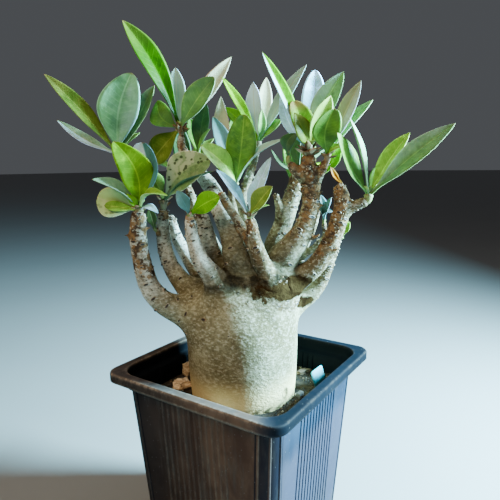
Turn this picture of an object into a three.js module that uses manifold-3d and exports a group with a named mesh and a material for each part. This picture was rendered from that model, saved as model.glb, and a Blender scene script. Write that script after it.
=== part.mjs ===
// Adenium arabicum in a square nursery pot: a squat smooth caudex, its crown of short thick
// branches, and a shoot of fleshy leaves on each branch end.
// Millimetres, +Z up. The origin is the middle of the pot's base, and +X is the pot's right wall.
import * as THREE from 'three';
import { mergeVertices } from 'three/addons/utils/BufferGeometryUtils.js';
import Module from 'manifold-3d';

const wasm = await Module();
wasm.setup();

// Pot
const potHeight = 130;
const rimAcross = 130;
const rimCorner = 9.5;
const flangeWidth = 6.5;
const lipDrop = 6;
const lipThick = 1.3;
const bandDepth = 9.5;          // smooth band between the flange and the ledge inside it
const bandCorner = 14;
const wallThick = 1.2;
const wallCorner = 12;
const baseAcross = 96;
const wallTaper = 0.069;        // each side leans out by this much per mm of height
const baseThick = 1.8;
const footBevel = 1.2;
const rimRound = 0.7;
const drainHole = { count: 8, radius: 4.5, reach: 31, farReach: 38.75, sides: 10 };
// The ribs start inside the wall, at root, and narrow to crest times their width
const rib = {
  count: 12, pitch: 4.2, width: 1.5, crest: 0.6, proud: 0.6, root: 0.6, bottom: 5, top: 118,
};
const cornerRidgeAngles = [12, 45, 78];

// Plant
const plantTurn = 34;           // the plant's front is turned this far from the pot's -Y wall
const soilLevel = 108;
const soilRipple = 0.9;
const clearance = 0.3;          // gap left between pieces that touch
const trunkSwell = { oval: 0.012, lobes: 0.008, lean: -1 };
const limbTip = { beyond: 0.35, narrow: 0.72 };   // the blunt end of a limb, in its last radius
const leafSpan = 15;            // length of blade between two of its cross sections
const neckLength = 1.2;         // a shoot's stem leaves the branch straight for this far
const chipSunk = 0.1;           // share of a chip's height that lies in the soil
const bladeThick = 0.8;
const petioleThick = 1.6;
const petioleWidth = 2.4;
const leafSeat = 0.3;           // how far out of the bud a leaf starts, in bud radii

// Trunk outline as [height, radius], from its foot in the soil to the top of the crown
const trunkOutline = [
  [70, 20], [78, 27], [90, 32.5], [100, 34.2], [108, 34.7], [118, 35.6], [130, 36.3],
  [143, 36.7], [153, 36.5], [161, 35], [169, 32], [177, 27.5], [184, 21], [189, 13],
];
const trunkFootBottom = 68;
const trunkCrownTop = 192;

const vec = (p) => new THREE.Vector3(p[0], p[1], p[2]);
const radians = THREE.MathUtils.degToRad;

// Geometry and booleans

function geometryOf(positions, index) {
  const geometry = new THREE.BufferGeometry();
  geometry.setAttribute('position', new THREE.Float32BufferAttribute(positions, 3));
  geometry.setIndex(index);
  return geometry;
}

function solidOf(geometry) {
  const plain = geometry.clone();
  plain.deleteAttribute('normal');
  plain.deleteAttribute('uv');
  const merged = mergeVertices(plain, 1e-4);
  return new wasm.Manifold(new wasm.Mesh({
    numProp: 3,
    vertProperties: new Float32Array(merged.attributes.position.array),
    triVerts: new Uint32Array(merged.index.array),
  }));
}

function geometryFrom(solid) {
  const mesh = solid.getMesh();
  return geometryOf(Array.from(mesh.vertProperties), Array.from(mesh.triVerts));
}

const joined = (solids) => solids.reduce((sum, next) => sum.add(next));

// Keeps the largest body of a solid, and drops the loose scraps that a cut leaves
function largestBody(solid) {
  const bodies = solid.decompose();
  return bodies.reduce((best, next) => (next.volume() > best.volume() ? next : best));
}

// Skins closed rings of equal length, from the middle of the first to the middle of the last
function loft(rings) {
  const count = rings[0].length;
  const middleOf = (ring) => ring.reduce((sum, p) => sum.add(p), new THREE.Vector3())
    .divideScalar(count);
  const points = [middleOf(rings[0]), ...rings.flat(), middleOf(rings[rings.length - 1])];
  const last = points.length - 1;
  const index = [];
  for (let i = 0; i < count; i += 1) {
    const next = (i + 1) % count;
    index.push(0, 1 + next, 1 + i);
    for (let r = 0; r < rings.length - 1; r += 1) {
      const low = 1 + r * count;
      const high = low + count;
      index.push(low + i, low + next, high + next, low + i, high + next, high + i);
    }
    const top = 1 + (rings.length - 1) * count;
    index.push(last, top + i, top + next);
  }
  return geometryOf(points.flatMap((p) => [p.x, p.y, p.z]), index);
}

// A square with round corners, anticlockwise at height z
function squareRing(half, corner, z, arcSteps = 6, sideSteps = 1) {
  const ring = [];
  for (let side = 0; side < 4; side += 1) {
    const turn = side * Math.PI / 2;
    const centre = new THREE.Vector2(half - corner, half - corner)
      .rotateAround(new THREE.Vector2(), turn);
    for (let i = 0; i <= arcSteps; i += 1) {
      const angle = turn + (i / arcSteps) * Math.PI / 2;
      ring.push(new THREE.Vector3(
        centre.x + corner * Math.cos(angle), centre.y + corner * Math.sin(angle), z));
    }
    const from = ring[ring.length - 1];
    const along = new THREE.Vector2(-2 * (half - corner), 0).rotateAround(new THREE.Vector2(), turn);
    for (let i = 1; i < sideSteps; i += 1) {
      const t = i / sideSteps;
      ring.push(new THREE.Vector3(from.x + along.x * t, from.y + along.y * t, z));
    }
  }
  return ring;
}

const limbSide = new THREE.Vector3(1, 0.13, 0);

// A round tapering limb through stations [x, y, z, radius], with a blunt bevelled end
function limb(stations, sides = 10, stepsPerSpan = 2) {
  const curve = new THREE.CatmullRomCurve3(stations.map(vec));
  const steps = (stations.length - 1) * stepsPerSpan;
  const rings = [];
  let across = null;
  const ringAt = (centre, tangent, radius) => {
    if (!across) {
      across = limbSide.clone();
    }
    across.addScaledVector(tangent, -across.dot(tangent)).normalize();
    const up = new THREE.Vector3().crossVectors(tangent, across);
    const ring = [];
    for (let i = 0; i < sides; i += 1) {
      const angle = (i / sides) * Math.PI * 2;
      ring.push(centre.clone().addScaledVector(across, radius * Math.cos(angle))
        .addScaledVector(up, radius * Math.sin(angle)));
    }
    return ring;
  };
  for (let i = 0; i <= steps; i += 1) {
    const t = i / steps;
    const span = Math.min(Math.floor(t * (stations.length - 1)), stations.length - 2);
    const within = t * (stations.length - 1) - span;
    const radius = THREE.MathUtils.lerp(stations[span][3], stations[span + 1][3], within);
    rings.push(ringAt(curve.getPoint(t), curve.getTangent(t), radius));
  }
  const end = limbEnd(stations);
  rings.push(ringAt(end.point, end.direction, end.radius));
  return solidOf(loft(rings));
}

// The flat face that closes a limb: where it is, where it points, and its radius
function limbEnd(stations) {
  const [last, before] = [stations[stations.length - 1], stations[stations.length - 2]];
  const direction = vec(last).sub(vec(before)).normalize();
  return {
    point: vec(last).addScaledVector(direction, limbTip.beyond * last[3]),
    direction,
    radius: limbTip.narrow * last[3],
  };
}

// Pot

const wallHalf = (z) => baseAcross / 2 + wallTaper * z;

function potSolid() {
  const rimHalf = rimAcross / 2;
  const lipBottom = potHeight - lipDrop;
  const flangeUnder = potHeight - lipThick;
  const openingHalf = rimHalf - flangeWidth;
  const ledge = potHeight - bandDepth;
  const innerHalf = (z) => wallHalf(z) - wallThick;
  const rings = [
    squareRing(baseAcross / 2 - footBevel, wallCorner - footBevel, 0),
    squareRing(wallHalf(footBevel), wallCorner, footBevel),
    squareRing(wallHalf(ledge - wallThick), wallCorner, ledge - wallThick),
    squareRing(openingHalf + wallThick, bandCorner, ledge),
    squareRing(openingHalf + wallThick, bandCorner, flangeUnder),
    squareRing(rimHalf - lipThick, rimCorner - lipThick, flangeUnder),
    squareRing(rimHalf - lipThick, rimCorner - lipThick, lipBottom),
    squareRing(rimHalf, rimCorner, lipBottom),
    squareRing(rimHalf, rimCorner, potHeight - rimRound),
    squareRing(rimHalf - rimRound, rimCorner - rimRound, potHeight),
    squareRing(openingHalf + rimRound, bandCorner, potHeight),
    squareRing(openingHalf, bandCorner, potHeight - rimRound),
    squareRing(openingHalf, bandCorner, ledge + wallThick),
    squareRing(innerHalf(ledge), wallCorner, ledge),
    squareRing(innerHalf(baseThick), wallCorner, baseThick),
  ];
  return solidOf(loft(rings));
}

// A rib stands on the middle of the +X wall, leaning with it, and is then turned into place
function ribSolid() {
  const length = rib.top - rib.bottom;
  const depth = rib.proud + rib.root;
  const geometry = new THREE.BoxGeometry(depth, rib.width, length);
  const place = geometry.attributes.position;
  for (let i = 0; i < place.count; i += 1) {
    const z = place.getZ(i) + (rib.top + rib.bottom) / 2;
    const outer = place.getX(i) > 0;
    const x = wallHalf(z) + (outer ? rib.proud : -rib.root);
    const y = place.getY(i) * (outer ? rib.crest : 1);
    place.setXYZ(i, x, y, z);
  }
  return geometry;
}

function ribsAroundPot() {
  const ribs = [];
  for (let side = 0; side < 4; side += 1) {
    for (let i = 0; i < rib.count; i += 1) {
      const along = (i - (rib.count - 1) / 2) * rib.pitch;
      ribs.push(solidOf(ribSolid().translate(0, along, 0).rotateZ(side * Math.PI / 2)));
    }
    for (const angle of cornerRidgeAngles) {
      ribs.push(solidOf(cornerRidge(angle).rotateZ(side * Math.PI / 2)));
    }
  }
  return ribs;
}

// A ridge on the round corner: the rib moved back to the arc's middle and turned about it
function cornerRidge(angle) {
  const geometry = ribSolid();
  const place = geometry.attributes.position;
  for (let i = 0; i < place.count; i += 1) {
    const z = place.getZ(i);
    const centre = wallHalf(z) - wallCorner;
    const spoke = new THREE.Vector2(place.getX(i) - centre, place.getY(i))
      .rotateAround(new THREE.Vector2(), radians(angle));
    place.setXYZ(i, centre + spoke.x, centre + spoke.y, z);
  }
  return geometry;
}

function drainHoles() {
  const holes = [];
  const { count, radius, sides } = drainHole;
  for (let i = 0; i < count; i += 1) {
    const angle = (i / count) * Math.PI * 2;
    const reach = i % 2 === 0 ? drainHole.reach : drainHole.farReach;
    const geometry = new THREE.CylinderGeometry(radius, radius, 3 * baseThick, sides);
    geometry.rotateX(Math.PI / 2);
    geometry.translate(reach * Math.cos(angle), reach * Math.sin(angle), 0);
    holes.push(solidOf(geometry));
  }
  return holes;
}

const makePot = () => joined([potSolid(), ...ribsAroundPot()]).subtract(joined(drainHoles()));

// Trunk and branches, in the plant's own frame: x to the right, y away, z up

function trunkSolid(grow = 0) {
  const profile = [
    new THREE.Vector2(0, trunkFootBottom - grow),
    ...trunkOutline.map(([z, radius]) => new THREE.Vector2(radius + grow, z)),
    new THREE.Vector2(0, trunkCrownTop),
  ];
  const geometry = new THREE.LatheGeometry(profile, 30);
  geometry.rotateX(Math.PI / 2);
  const place = geometry.attributes.position;
  for (let i = 0; i < place.count; i += 1) {
    const [x, y, z] = [place.getX(i), place.getY(i), place.getZ(i)];
    const angle = Math.atan2(y, x);
    const swell = 1 + trunkSwell.oval * Math.cos(2 * angle + 0.6)
      + trunkSwell.lobes * Math.cos(3 * angle - 0.04 * z);
    place.setXYZ(i, x * swell + trunkSwell.lean, y * swell, z);
  }
  return solidOf(geometry);
}

// Each branch runs through stations [x, y, z, radius] from inside the crown to its end
const branches = {
  farLeft: [[-24, -3, 159, 11], [-42, -6, 166.5, 8.6], [-53, -8, 174, 7.4], [-60, -8, 183.5, 6.5],
    [-64, -8, 199, 5.9], [-66, -8, 215, 5.3], [-65, -9, 228, 4.7]],
  farLeftTwig: [[-64, -7, 212, 3.4], [-67, -2, 223, 2.6], [-68, 1, 232, 2]],
  left: [[-22, 6, 170, 9.5], [-40, 8, 181, 6.8], [-48, 9, 192, 5.6], [-52, 9, 204, 5.1],
    [-53, 9, 217, 4.6], [-52, 8, 229, 3.4]],
  leftSpur: [[-52.5, 8, 213, 2.6], [-56, 5, 217, 1.5]],
  leftBehind: [[-18, 18, 174, 9], [-32, 25, 185, 6], [-40, 26, 197, 4.6], [-47, 26, 211, 4.1],
    [-50, 26, 223, 3]],
  innerLeft: [[-4, -4, 168, 9], [-15, -13, 186, 7.4], [-25, -16, 200, 5.5], [-30, -15, 212, 4.3],
    [-32, -14, 226, 3.2]],
  shortStub: [[-8, 4, 184, 9], [-17, 6, 198, 7.2], [-22, 6, 208, 6], [-25, 7, 219, 5.3],
    [-27, 7, 229, 4.4]],
  upperLeft: [[5, -6, 184, 11], [-3, -8, 199, 9], [-7, -3, 215, 7.3], [-14, 4, 231, 6.3],
    [-21, 9, 246, 5.2], [-32, 11, 260, 3.4], [-39, 12, 271, 2.7], [-39, 12, 278, 2.3]],
  upperLeftTwig: [[-22, 10, 246, 2.6], [-26, 16, 255, 2.2], [-28, 17, 261, 1.9]],
  frontLeft: [[10, -17, 199, 3.6], [5, -14, 211, 3.3], [-1, -10, 222, 3], [-8, -8, 233, 2.8],
    [-13, -8, 241, 2.5]],
  front: [[12, -5, 168, 9], [18, -12, 181, 7.2], [16, -17, 192, 5], [11, -18.5, 205, 4.2],
    [7, -18, 216, 3.9], [5.5, -17, 225, 3.3]],
  shoulder: [[4, -2, 158, 22], [16, -9, 175, 15], [22, -12, 184, 8]],
  main: [[14, -3, 178, 12], [20, -6, 193, 10.4], [27, -8, 203, 9.4], [34, -9, 212, 8],
    [39, -9, 221, 6.2], [42, -9, 231, 5.4], [43, -9, 244, 5.6], [41, -9, 255, 5.6],
    [41, -9, 262, 4.6]],
  mainKnob: [[42, -9, 249, 4], [35, -11, 254, 3.6], [30, -12, 259, 2.6]],
  mainSpur: [[43, -7, 243, 3.2], [47, -3, 248, 1.8]],
  mainSide: [[43, -9, 247, 4], [48, -10, 254, 3.2], [51, -11, 260, 2.6]],
  innerRight: [[12, 9, 180, 9], [18, 11, 196, 7], [22, 12, 208, 7], [27, 13, 220, 6.2],
    [31, 14, 232, 6], [34, 14, 241, 5.4], [36, 14, 249, 4.6]],
  innerRightStub: [[26, 12, 220, 3.8], [24.5, 11, 230, 3], [22.5, 10, 239, 2.2]],
  right: [[16, -4, 168, 11], [30, -7, 183, 8.4], [38, -8, 189, 7], [46, -9, 196, 6.4],
    [54, -9, 208, 5.8], [59, -9, 221, 5.2], [62, -9, 234, 4.8], [61, -9, 243, 4.3]],
  rightSide: [[60, -9, 226, 4], [68, -10, 233, 3.4], [75, -11, 236, 3.1]],
  rightBehind: [[22, 4, 162, 8], [41, 10, 168, 5.8], [50.5, 13, 176, 5], [56, 14, 187, 4.5],
    [59.5, 14, 197, 3.9], [63, 15, 206, 3]],
  rightInner: [[16, 16, 172, 9], [28, 21, 187, 6], [36, 22, 195, 4.6], [42, 23, 205, 4.2],
    [48, 24, 217, 3.5], [51, 24, 227, 2.8]],
  speckled: [[8, 6, 182, 6], [7, 8, 202, 4], [3, 9, 218, 3.4], [0, 10, 233, 3], [3, 11, 247, 2.7],
    [7, 12, 259, 2.4], [10, 12, 269, 2.3]],
  speckledTwig: [[0, 10, 230, 2.4], [-3, 7, 238, 2.1], [-4, 5, 244, 1.9]],
  young: [[38, 21, 196, 3], [48, 15, 203, 2.3], [55, 10.5, 212, 1.8], [54, 9, 220, 1.4]],
  backLeft: [[-12, 20, 172, 7], [-20, 32, 192, 5.2], [-27, 38, 208, 4.4], [-34, 42, 226, 3.8],
    [-39, 45, 242, 3]],
  backMiddle: [[-2, 24, 174, 7], [-4, 38, 194, 5.4], [-5, 44, 212, 4.6], [-7, 47, 232, 3.8],
    [-8, 48, 246, 3]],
  backRight: [[14, 22, 170, 7], [24, 36, 190, 5.4], [29, 42, 206, 4.4], [33, 45, 224, 3.6],
    [35, 46, 238, 3]],
};

// Dry stubs of old leaf and flower stalks, from a branch's surface outwards
const dryStubs = [
  [[-68, -9, 216, 1.4], [-74, -10, 217, 0.9]],
  [[-62, -9, 220, 1.3], [-57, -10, 222, 0.8]],
  [[44, -12, 214, 1.5], [47, -17, 217, 1]],
  [[46, -9, 232, 1.3], [51, -10, 235, 0.8]],
  [[39, -9, 241, 1.3], [35, -12, 244, 0.8]],
  [[56, -12, 206, 1.3], [60, -16, 208, 0.8]],
  [[61, -9, 238, 1.3], [66, -10, 241, 0.8]],
  [[5, -19, 217, 1.2], [9, -21, 221, 0.8]],
];

function makeCaudex() {
  const sidesOf = (stations) => [10, 8, 6][[9.5, 5, 0].findIndex((least) => stations[0][3] > least)];
  const limbs = Object.values(branches).map((stations) => limb(stations, sidesOf(stations), 1));
  const stubs = dryStubs.map((stations) => limb(stations, 5, 1));
  return largestBody(joined([trunkSolid(), ...limbs, ...stubs]));
}

// Leaves

// Half the blade's width at t from petiole to tip: a wedge up to the widest place, then the apex
function bladeHalfWidth(t, width, widest, sharp) {
  const grow = t < widest
    ? Math.sin((t / widest) * Math.PI / 2) ** 1.5
    : Math.cos(((t - widest) / (1 - widest)) * Math.PI / 2) ** sharp;
  const narrowest = t < widest ? Math.min(petioleWidth, 0.35 * width) / 2 : 0.35;
  return Math.max(width / 2 * grow, narrowest);
}

// One leaf from its base to its tip. faces is where its upper side looks, fold the lift of both
// halves from the midrib in degrees, bow the arch towards the upper side, sway the bend sideways.
function leafSolid(base, leaf) {
  const { tip, width, faces, fold = 18, bow = 2, sway = 0, widest = 0.56, sharp = 0.8 } = leaf;
  const along = vec(tip).sub(base);
  const length = along.length();
  along.normalize();
  const upper = vec(faces);
  upper.addScaledVector(along, -upper.dot(along)).normalize();
  const across = new THREE.Vector3().crossVectors(along, upper);
  const steps = THREE.MathUtils.clamp(Math.round(length / leafSpan) + 1, 3, 6);
  const points = [];
  for (let i = 0; i <= steps; i += 1) {
    const t = i / steps;
    const arch = Math.sin(t * Math.PI);
    const centre = base.clone().addScaledVector(along, length * t)
      .addScaledVector(upper, bow * arch).addScaledVector(across, sway * arch);
    const half = bladeHalfWidth(t, width, widest, sharp);
    const thick = THREE.MathUtils.lerp(petioleThick, bladeThick, Math.min(t / 0.3, 1));
    const lift = Math.tan(radians(fold)) * half;
    for (const side of [-1, 0, 1]) {
      const middle = centre.clone().addScaledVector(across, side * half)
        .addScaledVector(upper, Math.abs(side) * lift);
      points.push(middle.clone().addScaledVector(upper, thick / 2));
      points.push(middle.clone().addScaledVector(upper, -thick / 2));
    }
  }
  return solidOf(geometryOf(points.flatMap((p) => [p.x, p.y, p.z]), bladeIndex(steps)));
}

// Triangles of a blade whose stations hold left, middle and right, each as an upper and a lower point
function bladeIndex(steps) {
  const index = [];
  const quad = (a, b, c, d) => index.push(a, b, c, a, c, d);
  for (let i = 0; i < steps; i += 1) {
    const here = 6 * i;
    const next = here + 6;
    quad(here + 2, next + 2, next, here);
    quad(here + 2, here + 4, next + 4, next + 2);
    quad(here + 3, here + 1, next + 1, next + 3);
    quad(here + 3, next + 3, next + 5, here + 5);
    quad(here, next, next + 1, here + 1);
    quad(here + 4, here + 5, next + 5, next + 4);
  }
  const end = 6 * steps;
  quad(0, 1, 3, 2);
  quad(2, 3, 5, 4);
  quad(end + 2, end + 3, end + 1, end);
  quad(end + 4, end + 5, end + 3, end + 2);
  return index;
}

// A shoot stands on the end of a branch: a short stem up to the bud, and the leaves round the bud
const shoots = {
  shoot_far_left: {
    on: 'farLeft', via: [], bud: [-64, -9, 233, 3],
    leaves: [
      { tip: [-75, -18, 274], width: 20, faces: [0.3, -1, 0.2], sway: 6, widest: 0.5, sharp: 0.6 },
      { tip: [-88, -22, 252], width: 13, faces: [-0.2, -0.5, 1], fold: 25, bow: 3 },
      { tip: [-89.5, -9, 241], width: 19, faces: [0, -1, 0.4], sway: -2, widest: 0.62, sharp: 0.55 },
      { tip: [-84, -14, 236], width: 7, faces: [0, -1, 0.6], sway: -1, widest: 0.7, sharp: 0.5 },
      { tip: [-70, -14, 243], width: 5, faces: [0, -1, 0.6] },
      { tip: [-44, -22, 242], width: 7, faces: [-0.3, -0.4, 1], fold: 30, bow: 6 },
      { tip: [-51, -15, 231], width: 6, faces: [0, -0.5, 1], bow: 3 },
      { tip: [-62, 0, 274], width: 19, faces: [-0.4, -1, 0.2], fold: 26, sway: 7, sharp: 0.45 },
    ],
  },
  shoot_high_left: {
    on: 'farLeftTwig', via: [[-71, 3, 243, 1.6], [-76, 5, 255, 1.5]], bud: [-79, 6, 267, 2.2],
    leaves: [
      { tip: [-119, -2, 315], width: 11, faces: [0.5, -1, 0.6], fold: 22, bow: 3 },
      { tip: [-67, 2, 316], width: 26, faces: [0, -1, 0.1], fold: 14, sway: -3.5, sharp: 0.6 },
      { tip: [-55, 12, 310], width: 13, faces: [-0.4, -1, 0.2], fold: 24, sway: 2 },
      { tip: [-118, 10, 289], width: 9, faces: [0, -0.6, 1], fold: 14, bow: -3 },
      { tip: [-92, 36, 292], width: 13, faces: [0, 0, 1], bow: 4 },
      { tip: [-72, 38, 282], width: 12, faces: [0, 0, 1], bow: 3 },
    ],
  },
  shoot_upper_left: {
    on: 'upperLeft', via: [], bud: [-40, 12, 283, 2.4],
    leaves: [
      { tip: [-69, -6, 344], width: 14.5, faces: [0.4, -1, 0.3], fold: 24, bow: 1, sway: 4,
        widest: 0.66, sharp: 0.8 },
      { tip: [-16, 2, 313], width: 17, faces: [-0.4, -1, 0.2], fold: 20, bow: 2, sharp: 0.6 },
      { tip: [-6, 18, 328], width: 11, faces: [0.2, -1, 0.3], fold: 16 },
      { tip: [-43, 24, 323], width: 12, faces: [0, -1, 0.2] },
      { tip: [-54, 14, 301], width: 15, faces: [0.2, -1, 0.2], fold: 12, sway: -5.5 },
      { tip: [-62.5, 23, 261], width: 19, faces: [-0.2, -1, 0.3], fold: 10, bow: 1 },
      { tip: [-30, 38, 305], width: 13, faces: [0, 0.2, 1], bow: 4 },
    ],
  },
  shoot_left_twig: {
    on: 'upperLeftTwig', via: [], bud: [-29, 17, 265, 1.9],
    leaves: [
      { tip: [-23, 20, 300], width: 12, faces: [-0.3, -1, 0.2], fold: 24 },
      { tip: [-35, 27, 291], width: 10, faces: [0.3, -1, 0.2], fold: 20 },
      { tip: [-20, 12, 283], width: 5, faces: [-1, -0.5, 0.2] },
    ],
  },
  shoot_left: {
    on: 'left', via: [], bud: [-51, 6, 237, 2.4],
    leaves: [
      { tip: [-19, -9, 263], width: 25, faces: [-0.2, -1, 0.5], fold: 10, sway: -6,
        widest: 0.5, sharp: 0.5 },
      { tip: [-17, -12, 256], width: 11, faces: [-0.4, 0, 1], fold: 16, bow: 3 },
      { tip: [-68, 26, 256], width: 13, faces: [0, 0, 1], bow: 4 },
    ],
  },
  shoot_left_spur: {
    on: 'leftSpur', via: [], bud: [-57.5, 4, 219.5, 1.2],
    leaves: [
      { tip: [-60, 1, 232.5], width: 6.5, faces: [0.2, -1, 0.1], fold: 22, sharp: 0.6 },
    ],
  },
  shoot_inner_left: {
    on: 'innerLeft', via: [], bud: [-32, -14, 230, 1.9],
    leaves: [
      { tip: [-13, -22, 241], width: 14, faces: [-0.3, -1, 0.5], fold: 12, widest: 0.62, sharp: 0.5 },
      { tip: [-39, -18, 245], width: 8, faces: [0.2, -1, 0.2], fold: 16 },
    ],
  },
  shoot_middle: {
    on: 'speckledTwig', via: [], bud: [-4, 4, 248, 2.1],
    leaves: [
      { tip: [2, -5, 290], width: 19, faces: [-0.1, -1, 0.2], fold: 14, sway: 1, widest: 0.55, sharp: 0.5 },
      { tip: [-24, -17, 271], width: 14, faces: [0, -1, 0.7], fold: 18, bow: 4, widest: 0.62, sharp: 0.5 },
      { tip: [27, -10, 275], width: 8, faces: [-0.5, -0.4, 0.8], fold: 20, bow: 5 },
      { tip: [-13, 14, 303], width: 11, faces: [0.2, -1, 0.1], sway: -4 },
      { tip: [-18, 6, 290], width: 12, faces: [0.4, -1, 0.2], fold: 22 },
    ],
  },
  shoot_crown: {
    on: 'speckled', via: [], bud: [11, 12, 274, 2.2],
    leaves: [
      { tip: [-12, 8, 314], width: 7, faces: [0.5, -1, 0.3], fold: 24 },
      { tip: [8, 22, 313], width: 11, faces: [-0.4, -1, 0.2] },
      { tip: [17, 28, 317], width: 10, faces: [0.2, -1, 0.1] },
      { tip: [42, 14, 322], width: 10, faces: [-0.6, -1, 0.4], fold: 22 },
      { tip: [-11, 20, 297], width: 10, faces: [0.3, -1, 0.3] },
      { tip: [26, 12, 288], width: 10, faces: [-0.2, -0.8, 0.7] },
      { tip: [13, 6, 294], width: 6, faces: [0.4, -1, 0.1] },
      { tip: [12, 44, 300], width: 13, faces: [0, 0.2, 1], bow: 4 },
    ],
  },
  shoot_main: {
    on: 'main', via: [], bud: [41, -9, 268, 3.6],
    leaves: [
      { tip: [13, -8, 325], width: 9, faces: [0.6, -1, 0.3], fold: 22, sway: -1 },
      { tip: [25, 2, 303], width: 8, faces: [-0.6, -1, 0.4], sway: -3 },
      { tip: [47, 10, 318], width: 15, faces: [0, -1, 0.2], sharp: 0.6 },
      { tip: [63, 0, 315], width: 15, faces: [-0.4, -1, 0.2], sway: -2 },
      { tip: [53, -15, 299], width: 13, faces: [0.5, -1, 0.1], fold: 24, sway: -3 },
      { tip: [31, -21, 289], width: 11, faces: [0.1, -1, 0.4], fold: 16 },
      { tip: [31, -10, 297], width: 15, faces: [0.3, -1, 0.4], fold: 18, sharp: 0.5 },
      { tip: [56, 26, 294], width: 13, faces: [0, 0.2, 1], bow: 4 },
      { tip: [32, 28, 290], width: 12, faces: [0, 0.2, 1], bow: 4 },
    ],
  },
  shoot_main_side: {
    on: 'mainSide', via: [], bud: [52, -12, 265, 2],
    leaves: [
      { tip: [54, -21, 291], width: 17, faces: [0.1, -1, 0.2], fold: 18, sway: -4, sharp: 0.5 },
      { tip: [73, -4, 309], width: 10, faces: [-0.4, -1, 0.2] },
      { tip: [83, 6, 299], width: 11, faces: [-0.5, -0.6, 0.9] },
      { tip: [60, -17, 270], width: 6, faces: [-0.3, -0.6, 0.7] },
      { tip: [66, 16, 292], width: 10, faces: [0, 0, 1], bow: 3 },
    ],
  },
  shoot_knob: {
    on: 'mainKnob', via: [], bud: [28.5, -12, 264, 1.6],
    leaves: [
      { tip: [33, -10.5, 278], width: 9, faces: [-0.2, -1, 0.2], fold: 24, sway: -3, sharp: 0.5 },
    ],
  },
  shoot_spur: {
    on: 'mainSpur', via: [], bud: [50, -1, 252, 1.4],
    leaves: [
      { tip: [61.6, -1, 269.5], width: 8, faces: [-0.3, -1, 0.3], sway: 1.5, sharp: 0.5 },
    ],
  },
  shoot_inner_right: {
    on: 'innerRight', via: [], bud: [38, 13, 254, 2],
    leaves: [
      { tip: [19, 8, 269], width: 6, faces: [-1, 0.3, -0.8], fold: 26 },
      { tip: [37, 12, 280], width: 9, faces: [-0.8, -0.7, 0.2], fold: 20 },
      { tip: [50, 26, 272], width: 10, faces: [0, 0, 1], bow: 3 },
    ],
  },
  shoot_right: {
    on: 'rightSide', via: [], bud: [78, -11, 240, 2.9],
    leaves: [
      { tip: [125, -20, 282], width: 14, faces: [-0.5, -1, 0.7], fold: 16, bow: 3 },
      { tip: [104, -4, 278], width: 12, faces: [-0.8, -0.8, 0.3], fold: 24 },
      { tip: [55, -26, 277], width: 20, faces: [0.8, -0.8, 0.6], fold: 14, bow: -2 },
      { tip: [63, -20, 286], width: 8, faces: [0.9, -0.5, 0.2], fold: 20 },
      { tip: [96, 16, 260], width: 9, faces: [0, 0, 1], bow: 2 },
    ],
  },
  shoot_young: {
    on: 'young', via: [], bud: [54, 9, 223, 1.3],
    leaves: [
      { tip: [51, 8, 240], width: 6, faces: [0.2, -1, 0.1] },
      { tip: [58, 5, 238], width: 5, faces: [-0.7, -0.7, 0.1] },
      { tip: [59, 4, 229], width: 6, faces: [0, -0.5, 1], bow: 3 },
    ],
  },
  shoot_low_right: {
    on: 'rightBehind', via: [], bud: [67, 14, 211, 1.7],
    leaves: [
      { tip: [72, 13, 221], width: 6, faces: [-0.5, -1, 0.2] },
      { tip: [70, 28, 224], width: 8, faces: [0, 0, 1] },
    ],
  },
  shoot_front: {
    on: 'front', via: [], bud: [4.5, -18, 229, 2],
    leaves: [
      { tip: [18, -25, 247], width: 12, faces: [-0.6, -1, 0.5], fold: 22, bow: 1, sharp: 0.7 },
      { tip: [16, -25, 236], width: 4, faces: [-0.4, -0.5, 1] },
      { tip: [-15, -21, 257], width: 8, faces: [0.7, -0.8, 0.6], fold: 20 },
      { tip: [12, -13, 253], width: 10, faces: [-0.2, -1, 0.2] },
      { tip: [18, -9, 264], width: 8, faces: [-0.5, -1, 0.3] },
    ],
  },
  shoot_back_left: {
    on: 'backLeft', via: [], bud: [-40, 46, 247, 2.4],
    leaves: [
      { tip: [-72, 64, 262], width: 14, faces: [0, 0, 1], bow: 4 },
      { tip: [-50, 86, 272], width: 15, faces: [0, 0, 1], bow: 5 },
      { tip: [-22, 72, 280], width: 14, faces: [0, 0, 1], bow: 4 },
      { tip: [-46, 52, 290], width: 13, faces: [0, -1, 0.3] },
    ],
  },
  shoot_back_middle: {
    on: 'backMiddle', via: [], bud: [-8, 49, 251, 2.4],
    leaves: [
      { tip: [-20, 92, 266], width: 15, faces: [0, 0, 1], bow: 5 },
      { tip: [14, 84, 276], width: 14, faces: [0, 0, 1], bow: 4 },
      { tip: [-4, 58, 298], width: 14, faces: [0, -1, 0.3] },
      { tip: [16, 60, 286], width: 12, faces: [-0.4, -0.4, 0.9] },
    ],
  },
  shoot_back_right: {
    on: 'backRight', via: [], bud: [36, 47, 243, 2.4],
    leaves: [
      { tip: [72, 74, 260], width: 14, faces: [0, 0, 1], bow: 4 },
      { tip: [42, 90, 268], width: 15, faces: [0, 0, 1], bow: 5 },
      { tip: [36, 60, 284], width: 13, faces: [0, -1, 0.3] },
      { tip: [64, 50, 272], width: 12, faces: [0, 0, 1], bow: 3 },
    ],
  },
  withered_leaf: {
    on: 'right', via: [], bud: [62, -9, 247, 1.4],
    leaves: [
      { tip: [55, -6, 258], width: 4, faces: [0.6, -1, 0.2], bow: -2, fold: 30 },
    ],
  },
};

function makeShoot({ on, via, bud, leaves }) {
  const end = limbEnd(branches[on]);
  const radius = Math.min(end.radius, bud[3] * 0.9);
  const start = end.point.clone().addScaledVector(end.direction, clearance);
  const neck = start.clone().addScaledVector(end.direction, neckLength);
  const stem = limb([[...start, radius], [...neck, radius], ...via, bud], 5, 1);
  const blades = leaves.map((leaf) => {
    const centre = vec(bud);
    const out = vec(leaf.tip).sub(centre).normalize();
    return leafSolid(centre.addScaledVector(out, bud[3] * leafSeat), leaf);
  });
  return largestBody(joined([stem, ...blades]));
}

// Soil, with what stands in it and lies on it

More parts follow.
